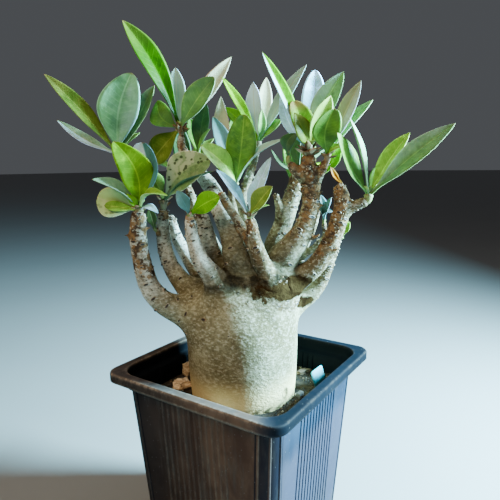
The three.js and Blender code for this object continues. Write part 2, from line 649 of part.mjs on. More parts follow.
const ripple = (x, y) => soilRipple * (Math.sin(x * 0.21 + 1) * Math.cos(y * 0.17)
  + 0.5 * Math.sin(x * 0.43 - y * 0.31));

function soilBlock() {
  const bottom = baseThick + clearance;
  const halfAt = (z) => wallHalf(z) - wallThick - clearance;
  const rings = [squareRing(halfAt(bottom), wallCorner, bottom, 6, 3)];
  for (const scale of [1, 0.9, 0.77, 0.62]) {
    const half = halfAt(soilLevel) * scale;
    const ring = squareRing(half, wallCorner * scale, soilLevel, 6, 3);
    rings.push(scale === 1 ? ring : ring.map((p) => new THREE.Vector3(p.x, p.y, p.z + ripple(p.x, p.y))));
  }
  return solidOf(loft(rings));
}

const label = {
  width: 11, height: 26, thick: 0.8, place: [53, 4, 108.6], tilt: 8, lean: -15, turn: 39,
};

function labelSolid(grow = 0) {
  const geometry = new THREE.BoxGeometry(label.width + grow, label.thick + grow, label.height + grow);
  geometry.rotateX(radians(-label.tilt)).rotateY(radians(label.lean)).rotateZ(radians(label.turn));
  return solidOf(geometry.translate(...label.place));
}

// Bark chips and stones: [x, y], size and turn, each a faceted lump laid on the soil
const chips = {
  bark_chip_1: { at: [-43.5, 4], size: [11, 8, 6], turn: 35 },
  bark_chip_2: { at: [-42, 24], size: [5.5, 3.5, 11], turn: -40 },
  bark_chip_3: { at: [43, 26], size: [10, 4, 2.5], turn: 40 },
  bark_chip_4: { at: [6, 46], size: [14, 7, 4], turn: 10 },
  bark_chip_5: { at: [-18, -44], size: [12, 6, 3], turn: 150 },
  stone_1: { at: [36.5, -13.5], size: [5, 4.5, 5], turn: 20 },
  stone_2: { at: [-24, 40], size: [7, 6, 4], turn: 80 },
  stone_3: { at: [26, 40], size: [6, 5, 4], turn: 0 },
};

function chipSolid({ at, size, turn }, angular) {
  const geometry = angular
    ? new THREE.BoxGeometry(1, 1, 1, 2, 2, 1)
    : new THREE.IcosahedronGeometry(0.5, 1);
  const place = geometry.attributes.position;
  for (let i = 0; i < place.count; i += 1) {
    const [x, y, z] = [place.getX(i), place.getY(i), place.getZ(i)];
    const rough = 1 + 0.14 * Math.sin(9 * x + 5 * y + at[0]) + 0.1 * Math.cos(7 * z - 6 * y + at[1]);
    place.setXYZ(i, x * rough, y * rough, z * (angular ? 1 - 0.5 * Math.abs(x) : rough));
  }
  const middle = soilLevel + size[2] * (0.5 - chipSunk);
  geometry.scale(...size).rotateZ(radians(turn)).translate(at[0], at[1], middle);
  return solidOf(geometry);
}

// Assembly

const finishes = {
  pot: { color: 0x24262b, roughness: 0.42, metalness: 0 },
  soil: { color: 0x2c2019, roughness: 0.95, metalness: 0 },
  bark: { color: 0x8c7f66, roughness: 0.72, metalness: 0 },
  leaf: { color: 0x4f8a22, roughness: 0.38, metalness: 0 },
  withered: { color: 0xb9771f, roughness: 0.7, metalness: 0 },
  label: { color: 0xa9d3dc, roughness: 0.4, metalness: 0 },
  chip: { color: 0xa5703c, roughness: 0.85, metalness: 0 },
  stone: { color: 0xb9b6ae, roughness: 0.8, metalness: 0 },
};

function piece(name, solid, finish) {
  const mesh = new THREE.Mesh(geometryFrom(solid), new THREE.MeshStandardMaterial(finishes[finish]));
  mesh.name = name;
  return mesh;
}

// Moves a solid made in the plant's frame into the pot's frame, and back
const toPotFrame = (solid) => solid.rotate([0, 0, plantTurn]);
const toPlantFrame = (solid) => solid.rotate([0, 0, -plantTurn]);

const group = new THREE.Group();
const plant = new THREE.Group();
plant.rotation.z = radians(plantTurn);
group.add(plant);

const bareSoil = soilBlock();
const trunkHole = toPotFrame(trunkSolid(2 * clearance));
const labelSlot = toPotFrame(labelSolid(2 * clearance));
const soil = largestBody(bareSoil.subtract(trunkHole).subtract(labelSlot));

group.add(piece('pot', makePot(), 'pot'));
group.add(piece('soil', soil, 'soil'));
plant.add(piece('caudex', makeCaudex(), 'bark'));
for (const [name, shoot] of Object.entries(shoots)) {
  plant.add(piece(name, makeShoot(shoot), name === 'withered_leaf' ? 'withered' : 'leaf'));
}
plant.add(piece('plant_label', labelSolid(), 'label'));

const soilUnderChips = toPlantFrame(bareSoil).translate([0, 0, clearance]);
for (const [name, chip] of Object.entries(chips)) {
  const angular = name.startsWith('bark');
  const seated = largestBody(chipSolid(chip, angular).subtract(soilUnderChips));
  plant.add(piece(name, seated, angular ? 'chip' : 'stone'));
}

export default group;
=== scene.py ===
# Potted adenium: a square black nursery pot, its soil, a squat caudex with short thick branches,
# and a shoot of fleshy leaves on each branch end.
# Lengths in the settings are millimetres. The plant's own frame has x to the right as the plant
# faces the viewer, y away and z up, and is turned about the pot's axis.
import math
import bmesh
import bpy
import numpy as np
from mathutils import Matrix, Vector


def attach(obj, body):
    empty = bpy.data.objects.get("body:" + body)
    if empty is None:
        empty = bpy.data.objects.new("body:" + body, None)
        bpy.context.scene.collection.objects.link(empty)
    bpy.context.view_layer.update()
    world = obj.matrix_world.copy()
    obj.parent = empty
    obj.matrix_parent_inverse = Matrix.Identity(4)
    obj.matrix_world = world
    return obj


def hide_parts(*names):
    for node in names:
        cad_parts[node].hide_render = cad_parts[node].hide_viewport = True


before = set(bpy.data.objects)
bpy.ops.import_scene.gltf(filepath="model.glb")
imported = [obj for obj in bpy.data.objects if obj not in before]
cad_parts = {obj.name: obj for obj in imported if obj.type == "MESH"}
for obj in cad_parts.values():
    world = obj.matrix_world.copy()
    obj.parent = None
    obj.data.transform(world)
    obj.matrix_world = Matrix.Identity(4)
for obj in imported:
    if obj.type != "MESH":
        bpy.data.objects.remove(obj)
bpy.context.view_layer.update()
plantTurn = math.radians(34)
soilLevel = 108.0
clearance = 0.3
perMetre = 1000  # millimetres
lumpScale = 500  # the scale at which noise has lumps about a millimetre across
fullTurn = 2 * math.pi


# Geometry helpers

def turnedZ(points, angle):
    c, s = math.cos(angle), math.sin(angle)
    x, y, z = points[..., 0], points[..., 1], points[..., 2]
    return np.stack([x * c - y * s, x * s + y * c, z], -1)


# From the plant's own frame in millimetres to the scene's in metres, and back
def toScene(points):
    return turnedZ(np.asarray(points, float), plantTurn) / perMetre


def toPlant(points):
    return turnedZ(np.asarray(points, float) * perMetre, -plantTurn)


def unit(v):
    v = np.asarray(v, float)
    return v / np.maximum(np.linalg.norm(v, axis=-1, keepdims=True), 1e-9)


def smoothStep(x, low, high):
    t = np.clip((np.asarray(x, float) - low) / (high - low), 0, 1)
    return t * t * (3 - 2 * t)


def circle(count):
    return np.arange(count) / count * fullTurn


def makeObject(name, mesh):
    made = bpy.data.objects.new(name, mesh)
    bpy.context.scene.collection.objects.link(made)
    return made


def meshFrom(name, points, faces):
    mesh = bpy.data.meshes.new(name)
    mesh.from_pydata([tuple(p) for p in np.asarray(points, float)], [], faces)
    mesh.validate()
    mesh.update()
    mesh.shade_smooth()
    return mesh


# Turns an edited bmesh into a plain mesh
def meshOf(shape, name):
    mesh = bpy.data.meshes.new(name)
    shape.to_mesh(mesh)
    shape.free()
    return mesh


# The object's mesh with its modifiers applied, which are then removed
def appliedMesh(host):
    bpy.context.view_layer.update()
    depsgraph = bpy.context.evaluated_depsgraph_get()
    mesh = bpy.data.meshes.new_from_object(host.evaluated_get(depsgraph), depsgraph=depsgraph)
    host.modifiers.clear()
    return mesh


def setValues(mesh, name, values, kind="FLOAT"):
    layer = mesh.attributes.new(name, kind, "POINT")
    key = {"FLOAT": "value", "FLOAT_VECTOR": "vector", "FLOAT_COLOR": "color"}[kind]
    layer.data.foreach_set(key, np.asarray(values, np.float32).ravel())


def getPoints(mesh):
    flat = np.zeros(len(mesh.vertices) * 3, np.float32)
    mesh.vertices.foreach_get("co", flat)
    return flat.reshape(-1, 3).astype(float)


def setPoints(mesh, points):
    mesh.vertices.foreach_set("co", toScene(points).astype(np.float32).ravel())
    mesh.update()


def getNormals(mesh):
    flat = np.zeros(len(mesh.vertices) * 3, np.float32)
    mesh.vertex_normals.foreach_get("vector", flat)
    return toPlant(flat.reshape(-1, 3)) / perMetre


def getEdges(mesh):
    flat = np.zeros(len(mesh.edges) * 2, np.int32)
    mesh.edges.foreach_get("vertices", flat)
    return flat.reshape(-1, 2)


# Skins rings of equal length and closes both ends with one face
def loftFaces(ringCount, size):
    faces = []
    last = (ringCount - 1) * size
    for low in range(0, last, size):
        high = low + size
        for i in range(size):
            n = (i + 1) % size
            faces.append((low + i, low + n, high + n, high + i))
    return faces + [tuple(reversed(range(size))), tuple(range(last, last + size))]


def joinParts(parts):
    points, faces, shift = [], [], 0
    for p, f in parts:
        points.append(np.asarray(p, float).reshape(-1, 3))
        faces += [tuple(i + shift for i in face) for face in f]
        shift += len(points[-1])
    return np.vstack(points), faces


# A smooth line through stations [x, y, z, radius]: places, directions, radii, and share along it
def smoothLine(stations, step):
    s = np.array(stations, float)
    place = s[:, :3]
    ends = np.vstack([2 * place[0] - place[1], place, 2 * place[-1] - place[-2]])
    rows = []
    for i in range(len(place) - 1):
        a, b, c, d = ends[i:i + 4]
        k0, k1, k2 = [max(np.linalg.norm(q - p), 1e-6) ** 0.5 for p, q in ((a, b), (b, c), (c, d))]
        m1 = ((b - a) / k0 - (c - a) / (k0 + k1) + (c - b) / k1) * k1
        m2 = ((c - b) / k1 - (d - b) / (k1 + k2) + (d - c) / k2) * k1
        count = max(2, int(math.ceil(np.linalg.norm(c - b) / step)))
        isLast = i == len(place) - 2
        for j in range(count + int(isLast)):
            t = j / count
            at = ((2 * t ** 3 - 3 * t ** 2 + 1) * b + (t ** 3 - 2 * t ** 2 + t) * m1
                  + (-2 * t ** 3 + 3 * t ** 2) * c + (t ** 3 - t ** 2) * m2)
            rows.append([*at, s[i, 3] + (s[i + 1, 3] - s[i, 3]) * t, (i + t) / (len(place) - 1)])
    rows = np.array(rows)
    heading = unit(np.gradient(rows[:, :3], axis=0))
    return rows[:, :3], heading, rows[:, 3], rows[:, 4]


# The blunt far end of a tube: how far past the last station and how wide, in its radii
bluntTip = [(0.18, 0.95), (0.31, 0.84), (0.38, 0.66), (0.41, 0.4)]


# A tube round a line through stations
def tube(stations, step, sides):
    place, heading, radius, _ = smoothLine(stations, step)
    end, out, r = place[-1], unit(place[-1] - place[-2]), radius[-1]
    place = np.vstack([place] + [end + out * r * past for past, _ in bluntTip])
    heading = np.vstack([heading] + [out for _ in bluntTip])
    radius = np.concatenate([radius, [r * wide for _, wide in bluntTip]])
    across = unit(np.cross(heading[0], [0.13, -1, 0.05]))
    angle = circle(sides)
    rings = []
    for p, h, r in zip(place, heading, radius):
        across = unit(across - h * np.dot(across, h))
        up = np.cross(h, across)
        rings.append(p + r * (np.outer(np.cos(angle), across) + np.outer(np.sin(angle), up)))
    return np.vstack(rings), loftFaces(len(rings), sides)


# A square with round corners, anticlockwise, at height z
def squareRing(half, corner, z, arcSteps, sideSteps):
    ring = []
    for side in range(4):
        turn = side * math.pi / 2
        c, s = math.cos(turn), math.sin(turn)
        mx, my = (half - corner) * (c - s), (half - corner) * (s + c)
        for i in range(arcSteps + 1):
            angle = turn + i / arcSteps * math.pi / 2
            ring.append((mx + corner * math.cos(angle), my + corner * math.sin(angle), z))
        fx, fy = ring[-1][0], ring[-1][1]
        length = 2 * (half - corner)
        for i in range(1, sideSteps):
            t = i / sideSteps
            ring.append((fx - length * c * t, fy - length * s * t, z))
    return np.array(ring)


# Geometry-node trees

def newTree(name, inputs):
    tree = bpy.data.node_groups.new(name, "GeometryNodeTree")
    tree.interface.new_socket("Geometry", in_out="INPUT", socket_type="NodeSocketGeometry")
    for label, kind in inputs.items():
        tree.interface.new_socket(label, in_out="INPUT", socket_type="NodeSocket" + kind)
    tree.interface.new_socket("Geometry", in_out="OUTPUT", socket_type="NodeSocketGeometry")
    return tree, tree.nodes.new("NodeGroupInput"), tree.nodes.new("NodeGroupOutput")


def addNode(tree, kind, inputs=None, **settings):
    node = tree.nodes.new(kind)
    for key, value in settings.items():
        setattr(node, key, value)
    for key, value in (inputs or {}).items():
        plug(tree, node.inputs[key], value)
    return node


def plug(tree, socket, value):
    if isinstance(value, bpy.types.NodeSocket):
        tree.links.new(value, socket)
    elif isinstance(value, (tuple, list)) and socket.type == "RGBA" and len(value) == 3:
        socket.default_value = (*value, 1)
    else:
        socket.default_value = value


def calc(tree, operation, a, b=0.0):
    return addNode(tree, "ShaderNodeMath", {0: a, 1: b}, operation=operation).outputs[0]


def named(tree, name, kind="FLOAT"):
    return addNode(tree, "GeometryNodeInputNamedAttribute", {"Name": name}, data_type=kind).outputs[0]


def joined(tree, *shapes):
    node = addNode(tree, "GeometryNodeJoinGeometry")
    for shape in shapes:
        tree.links.new(shape, node.inputs[0])
    return node.outputs[0]


# Points over a surface where the stored chance allows, at least the Spacing input apart
def spreadPoints(tree, start, chanceName, most):
    return addNode(tree, "GeometryNodeDistributePointsOnFaces", {
        "Mesh": start.outputs[0], "Distance Min": start.outputs["Spacing"], "Density Max": most,
        "Density Factor": named(tree, chanceName), "Seed": start.outputs["Seed"]},
        distribute_method="POISSON")


def drawShare(tree, seed):
    node = addNode(tree, "FunctionNodeRandomValue", {2: 0.0, 3: 1.0, "Seed": seed}, data_type="FLOAT")
    return node.outputs[1]


# A size for each point, more often near the least one as power grows
def drawSize(tree, seed, power, least, most):
    share = calc(tree, "POWER", drawShare(tree, seed), power)
    return addNode(tree, "ShaderNodeMapRange", {
        "Value": share, "To Min": least, "To Max": most}).outputs[0]


def putCopies(tree, points, shape, rotation=(0.0, 0.0, 0.0), size=(1.0, 1.0, 1.0)):
    source = addNode(tree, "GeometryNodeObjectInfo", {"Object": shape})
    return addNode(tree, "GeometryNodeInstanceOnPoints", {
        "Points": points, "Instance": source.outputs["Geometry"], "Rotation": rotation,
        "Scale": size}).outputs[0]


def endTree(tree, end, shape, skin):
    solid = addNode(tree, "GeometryNodeRealizeInstances", {0: shape})
    done = addNode(tree, "GeometryNodeSetMaterial", {"Geometry": solid.outputs[0], "Material": skin})
    tree.links.new(done.outputs[0], end.inputs[0])
    return tree


# Runs a tree on an object and returns the result as a plain mesh
def runTree(host, tree, settings):
    modifier = host.modifiers.new("Repeats", "NODES")
    modifier.node_group = tree
    for item in tree.interface.items_tree:
        if item.in_out == "INPUT" and item.name in settings:
            modifier[item.identifier] = settings[item.name]
    host.update_tag()
    return appliedMesh(host)


# Materials: one small builder that every finish below uses

class Finish:
    def __init__(self, name):
        self.material = bpy.data.materials.new(name)
        self.material.use_nodes = True
        self.tree = self.material.node_tree
        self.tree.nodes.clear()
        self.shader = self.tree.nodes.new("ShaderNodeBsdfPrincipled")
        out = self.tree.nodes.new("ShaderNodeOutputMaterial")
        self.tree.links.new(self.shader.outputs[0], out.inputs["Surface"])
        self.place = self.tree.nodes.new("ShaderNodeTexCoord").outputs["Object"]

    def math(self, operation, a, b=0.0):
        return calc(self.tree, operation, a, b)

    def times(self, a, b):
        return self.math("MULTIPLY", a, b)

    def plus(self, a, b):
        return self.math("ADD", a, b)

    def minus(self, a, b):
        return self.math("SUBTRACT", a, b)

    def mix(self, share, a, b, blend="MIX"):
        node = addNode(self.tree, "ShaderNodeMix", {0: share, 6: a, 7: b},
                       data_type="RGBA", blend_type=blend, clamp_factor=True)
        return node.outputs[2]

    def tinted(self, shade, factors):
        return self.mix(1.0, shade, factors, "MULTIPLY")

    # 0 below low, 1 above high, smooth between
    def band(self, value, low, high, least=0.0, most=1.0):
        node = addNode(self.tree, "ShaderNodeMapRange", {
            "Value": value, "From Min": low, "From Max": high, "To Min": least, "To Max": most},
            interpolation_type="SMOOTHSTEP")
        return node.outputs[0]

    # Noise whose lumps are about size millimetres across, squeezed by stretch
    def noise(self, size, detail=3, roughness=0.55, stretch=(1, 1, 1), shift=0.0):
        mapping = addNode(self.tree, "ShaderNodeMapping", {
            "Vector": self.place, "Scale": stretch, "Location": (shift, shift * 1.7, shift * 0.6)})
        return addNode(self.tree, "ShaderNodeTexNoise", {
            "Vector": mapping.outputs[0], "Scale": lumpScale / size, "Detail": detail,
            "Roughness": roughness}).outputs[0]

    # Distance from the middle of cells about size millimetres across
    def cells(self, size, stretch=(1, 1, 1)):
        mapping = addNode(self.tree, "ShaderNodeMapping", {"Vector": self.place, "Scale": stretch})
        return addNode(self.tree, "ShaderNodeTexVoronoi", {
            "Vector": mapping.outputs[0], "Scale": perMetre / size}).outputs["Distance"]

    # Noise as soft-edged patches, least between them and most in them
    def patches(self, low, high, *size, least=0.0, most=1.0, **more):
        return self.band(self.noise(*size, **more), low, high, least, most)

    def stored(self, name, output="Fac"):
        return addNode(self.tree, "ShaderNodeAttribute", attribute_name=name).outputs[output]

    def split(self, vector):
        return addNode(self.tree, "ShaderNodeSeparateXYZ", {0: vector}).outputs

    def height(self):
        return self.split(self.place)[2]

    def bump(self, height, distance, strength=1.0, below=None):
        inputs = {"Height": height, "Distance": distance / perMetre, "Strength": strength}
        if below is not None:
            inputs["Normal"] = below
        return addNode(self.tree, "ShaderNodeBump", inputs).outputs[0]

    def set(self, **values):
        for key, value in values.items():
            plug(self.tree, self.shader.inputs[key.replace("_", " ")], value)
        return self.material


def finishPiece(made, node):
    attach(made, "root")
    if node:
        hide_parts(node)


# Trunk and branches

trunkOutline = [
    [68, 0.1], [68.5, 12], [70, 20], [78, 27], [90, 32.5], [100, 34.2], [108, 34.7], [118, 35.6],
    [130, 36.3], [143, 36.7], [153, 36.5], [161, 35], [169, 32], [177, 27.5], [184, 21], [189, 13],
    [191.3, 6], [192, 0.1],
]

trunkShift = 1  # the trunk stands this far left of the pot's middle
trunkTop = 192
# How squarely the trunk's side faces outwards at a height, for distances from its surface
trunkSlope = [(68, 0.3), (80, 0.8), (100, 1), (150, 1), (165, 0.85), (180, 0.6), (192, 0.3)]
limbReach = 16
farAway = 1e9

branches = {
    "farLeft": [[-24, -3, 159, 11], [-42, -6, 166.5, 8.6], [-53, -8, 174, 7.4],
        [-60, -8, 183.5, 6.5], [-64, -8, 199, 5.9], [-66, -8, 215, 5.3], [-65, -9, 228, 4.7]],
    "farLeftTwig": [[-64, -7, 212, 3.4], [-67, -2, 223, 2.6], [-68, 1, 232, 2]],
    "left": [[-22, 6, 170, 9.5], [-40, 8, 181, 6.8], [-48, 9, 192, 5.6], [-52, 9, 204, 5.1],
        [-53, 9, 217, 4.6], [-52, 8, 229, 3.4]],
    "leftSpur": [[-52.5, 8, 213, 2.6], [-56, 5, 217, 1.5]],
    "leftBehind": [[-18, 18, 174, 9], [-32, 25, 185, 6], [-40, 26, 197, 4.6], [-47, 26, 211, 4.1],
        [-50, 26, 223, 3]],
    "innerLeft": [[-4, -4, 168, 9], [-15, -13, 186, 7.4], [-25, -16, 200, 5.5],
        [-30, -15, 212, 4.3], [-32, -14, 226, 3.2]],
    "shortStub": [[-8, 4, 184, 9], [-17, 6, 198, 7.2], [-22, 6, 208, 6], [-25, 7, 219, 5.3],
        [-27, 7, 229, 4.4]],
    "upperLeft": [[5, -6, 184, 11], [-3, -8, 199, 9], [-7, -3, 215, 7.3], [-14, 4, 231, 6.3],
        [-21, 9, 246, 5.2], [-32, 11, 260, 3.4], [-39, 12, 271, 2.7], [-39, 12, 278, 2.3]],
    "upperLeftTwig": [[-22, 10, 246, 2.6], [-26, 16, 255, 2.2], [-28, 17, 261, 1.9]],
    "frontLeft": [[10, -17, 199, 3.6], [5, -14, 211, 3.3], [-1, -10, 222, 3], [-8, -8, 233, 2.8],
        [-13, -8, 241, 2.5]],
    "front": [[12, -5, 168, 9], [18, -12, 181, 7.2], [16, -17, 192, 5], [11, -18.5, 205, 4.2],
        [7, -18, 216, 3.9], [5.5, -17, 225, 3.3]],
    "shoulder": [[4, -2, 158, 22], [16, -9, 175, 15], [22, -12, 184, 8]],
    "main": [[14, -3, 178, 12], [20, -6, 193, 10.4], [27, -8, 203, 9.4], [34, -9, 212, 8],
        [39, -9, 221, 6.2], [42, -9, 231, 5.4], [43, -9, 244, 5.6], [41, -9, 255, 5.6],
        [41, -9, 262, 4.6]],
    "mainKnob": [[42, -9, 249, 4], [35, -11, 254, 3.6], [30, -12, 259, 2.6]],
    "mainSpur": [[43, -7, 243, 3.2], [47, -3, 248, 1.8]],
    "mainSide": [[43, -9, 247, 4], [48, -10, 254, 3.2], [51, -11, 260, 2.6]],
    "innerRight": [[12, 9, 180, 9], [18, 11, 196, 7], [22, 12, 208, 7], [27, 13, 220, 6.2],
        [31, 14, 232, 6], [34, 14, 241, 5.4], [36, 14, 249, 4.6]],
    "innerRightStub": [[26, 12, 220, 3.8], [24.5, 11, 230, 3], [22.5, 10, 239, 2.2]],
    "right": [[16, -4, 168, 11], [30, -7, 183, 8.4], [38, -8, 189, 7], [46, -9, 196, 6.4],
        [54, -9, 208, 5.8], [59, -9, 221, 5.2], [62, -9, 234, 4.8], [61, -9, 243, 4.3]],
    "rightSide": [[60, -9, 226, 4], [68, -10, 233, 3.4], [75, -11, 236, 3.1]],
    "rightBehind": [[22, 4, 162, 8], [41, 10, 168, 5.8], [50.5, 13, 176, 5], [56, 14, 187, 4.5],
        [59.5, 14, 197, 3.9], [63, 15, 206, 3]],
    "rightInner": [[16, 16, 172, 9], [28, 21, 187, 6], [36, 22, 195, 4.6], [42, 23, 205, 4.2],
        [48, 24, 217, 3.5], [51, 24, 227, 2.8]],
    "speckled": [[8, 6, 182, 6], [7, 8, 202, 4], [3, 9, 218, 3.4], [0, 10, 233, 3], [3, 11, 247, 2.7],
        [7, 12, 259, 2.4], [10, 12, 269, 2.3]],
    "speckledTwig": [[0, 10, 230, 2.4], [-3, 7, 238, 2.1], [-4, 5, 244, 1.9]],
    "young": [[38, 21, 196, 3], [48, 15, 203, 2.3], [55, 10.5, 212, 1.8], [54, 9, 220, 1.4]],
    "backLeft": [[-12, 20, 172, 7], [-20, 32, 192, 5.2], [-27, 38, 208, 4.4], [-34, 42, 226, 3.8],
        [-39, 45, 242, 3]],
    "backMiddle": [[-2, 24, 174, 7], [-4, 38, 194, 5.4], [-5, 44, 212, 4.6], [-7, 47, 232, 3.8],
        [-8, 48, 246, 3]],
    "backRight": [[14, 22, 170, 7], [24, 36, 190, 5.4], [29, 42, 206, 4.4], [33, 45, 224, 3.6],
        [35, 46, 238, 3]],
}

# Dry stubs of old leaf and flower stalks, from a branch's surface outwards
dryStubs = [
    [[-68, -9, 216, 1.4], [-74, -10, 217, 0.9]],
    [[-62, -9, 220, 1.3], [-57, -10, 222, 0.8]],
    [[44, -12, 214, 1.5], [47, -17, 217, 1]],
    [[46, -9, 232, 1.3], [51, -10, 235, 0.8]],
    [[39, -9, 241, 1.3], [35, -12, 244, 0.8]],
    [[56, -12, 206, 1.3], [60, -16, 208, 0.8]],
    [[61, -9, 238, 1.3], [66, -10, 241, 0.8]],
    [[5, -19, 217, 1.2], [9, -21, 221, 0.8]],
]

# web is how far apart two limbs still grow together, low in the crown, on the upper branches and
# at a dry stub. A pair of heights is where something begins and where it is in full
caudexLook = dict(
    voxel=0.97, sides=100, lineStep=2.2, limbSides=22, limbStep=1.4, stubSides=10, stubStep=0.8,
    webLow=11, webHigh=3.2, webStub=2, webHeights=(178, 210), fitRounds=3, inwardMost=3,
    outwardMost=0.5, joinReach=6, joinHeights=(110, 140), joinRounds=6, softness=0.7, softRounds=2,
    foldSoftness=0.9, foldRounds=30, relief=0.6, lumps=1.2, scarSpacing=2.2, scarWidth=3.1,
    flakeSpacing=1.5, flakeWidth=2.2, seed=7)

# Marks on the caudex: a fold to smooth where the front limb leaves the shoulder, an old wound low
# on the right, the crown darkened with dirt and painted shade, pale left limbs partly painted light,
# painted shadows below the limbs (place, reach and how dark), and corky bark on a limb
# from one height up to another, how much, and the heights between which it ends again
caudexMarks = dict(
    fold=((13, -27, 170), (13, 9, 8)),
    wound=dict(at=(25.6, -22.7, 116), wide=1.9, deep=1.3, rim=2.3, rimWide=0.8),
    crown=dict(above=(178, 190), below=(226, 204), within=(44, 26), onLimbs=0.75, onTrunk=0.95),
    creviceAbove=(176, 187), soilBelow=(112.5, 109.5), scarsFrom=150,
    paleAndLit=("farLeft", "left", "innerLeft", "shortStub", "leftBehind", "upperLeft"),
    paintedShadows=(((33, -14, 184.5), (12, 10, 7.5), 1), ((22, -18, 182), (12, 10, 7.5), 0.95),
            ((12, -21, 181), (12, 9, 8), 0.62), ((1, -22, 181), (10, 9, 7), 0.4),
            ((37, 2, 169), (14, 9, 4.5), 0.8)),
    corky={"main": (198, 250, 1), "mainKnob": (246, 256, 1), "mainSide": (246, 256, 1),
           "right": (186, 234, 1), "front": (206, 222, 0.8), "frontLeft": (200, 212, 0.6),
           "shortStub": (222, 230, 0.6), "upperLeft": (262, 274, 0.9), "speckled": (246, 262, 0.5),
           "farLeft": (186, 194, 0.6, 230, 220)})


def trunkRadius(z):
    heights, radii = np.array(trunkOutline).T
    return np.interp(z, heights, radii, left=0, right=0)


def trunkParts():
    heights, radii = np.array(trunkOutline, float).T
    line = smoothLine(np.column_stack([radii, heights * 0, heights, heights * 0]),
                      caudexLook["lineStep"])[0]
    angle = circle(caudexLook["sides"])
    rings = []
    for r, _, z in line:
        swell = 1 + 0.012 * np.cos(2 * angle + 0.6) + 0.008 * np.cos(3 * angle - 0.04 * z)
        r = max(r, 0.05)
        rings.append(np.column_stack([r * np.cos(angle) * swell - trunkShift,
                                      r * np.sin(angle) * swell, angle * 0 + z]))
    return np.vstack(rings), loftFaces(len(rings), len(angle))


# For each point: distance to the nearest and second nearest limb surface, which limb is nearest
# (0 is the trunk), where on it, and the distance to all limbs grown together
def limbFacts(points):
    look, count, z = caudexLook, len(points), points[:, 2]
    radial = np.hypot(points[:, 0] + trunkShift, points[:, 1])
    trunk = (radial - trunkRadius(z)) * np.interp(z, *np.array(trunkSlope).T)
    nearest = np.where(z > trunkTop, z - trunkTop + radial * 0.3, trunk)
    second, third = np.full(count, farAway), np.full(count, farAway)
    owner, share, toEnd = np.zeros(count, int), np.zeros(count), np.full(count, farAway)
    heading = np.tile([0.0, 0.0, 1.0], (count, 1))
    for index, stations in enumerate([*branches.values(), *dryStubs], 1):
        place, along, radius, shares = smoothLine(stations, 1.5)
        low, high = place.min(0) - limbReach, place.max(0) + limbReach
        near = np.flatnonzero(((points > low) & (points < high)).all(1))
        gap = np.linalg.norm(points[near, None, :] - place[None], axis=2) - radius
        best = gap.argmin(1)
        distance, first = gap[np.arange(len(near)), best], nearest[near]
        closer = distance < first
        third[near] = np.minimum(third[near], np.maximum(second[near], distance))
        second[near] = np.where(closer, first, np.minimum(second[near], distance))
        nearest[near] = np.where(closer, distance, first)
        length = np.concatenate([[0], np.cumsum(np.linalg.norm(np.diff(place, axis=0), axis=1))])
        mine, at = near[closer], best[closer]
        owner[mine], share[mine], heading[mine] = index, shares[at], along[at]
        toEnd[mine] = (length[-1] - length)[at]
    upper = smoothStep(z, *look["webHeights"])
    web = look["webLow"] + (look["webHigh"] - look["webLow"]) * upper
    web = np.where(owner > len(branches), look["webStub"], web)
    field = nearest
    for other in (second, third):
        overlap = np.clip(web - np.abs(field - other), 0, None) / web
        field = np.minimum(field, other) - overlap ** 2 * web / 4
    return dict(nearest=nearest, second=second, owner=owner, share=share, heading=heading,
                toEnd=toEnd, field=field)


# Eases points towards their neighbours
def relax(points, edges, weight, rounds):
    count = np.bincount(edges.ravel(), minlength=len(points)).astype(float)[:, None]
    for _ in range(rounds):
        total = np.zeros_like(points)
        for axis in range(3):
            total[:, axis] = (np.bincount(edges[:, 0], points[edges[:, 1], axis], len(points))
                              + np.bincount(edges[:, 1], points[edges[:, 0], axis], len(points)))
        points = points + (total / count - points) * weight[:, None] * 0.6
    return points


def awayFrom(points, place, reach):
    return np.linalg.norm((points - place) / reach, axis=1)


def woundDistance(points):
    return np.linalg.norm((points - caudexMarks["wound"]["at"]) * (1, 1, 0.7), axis=1)


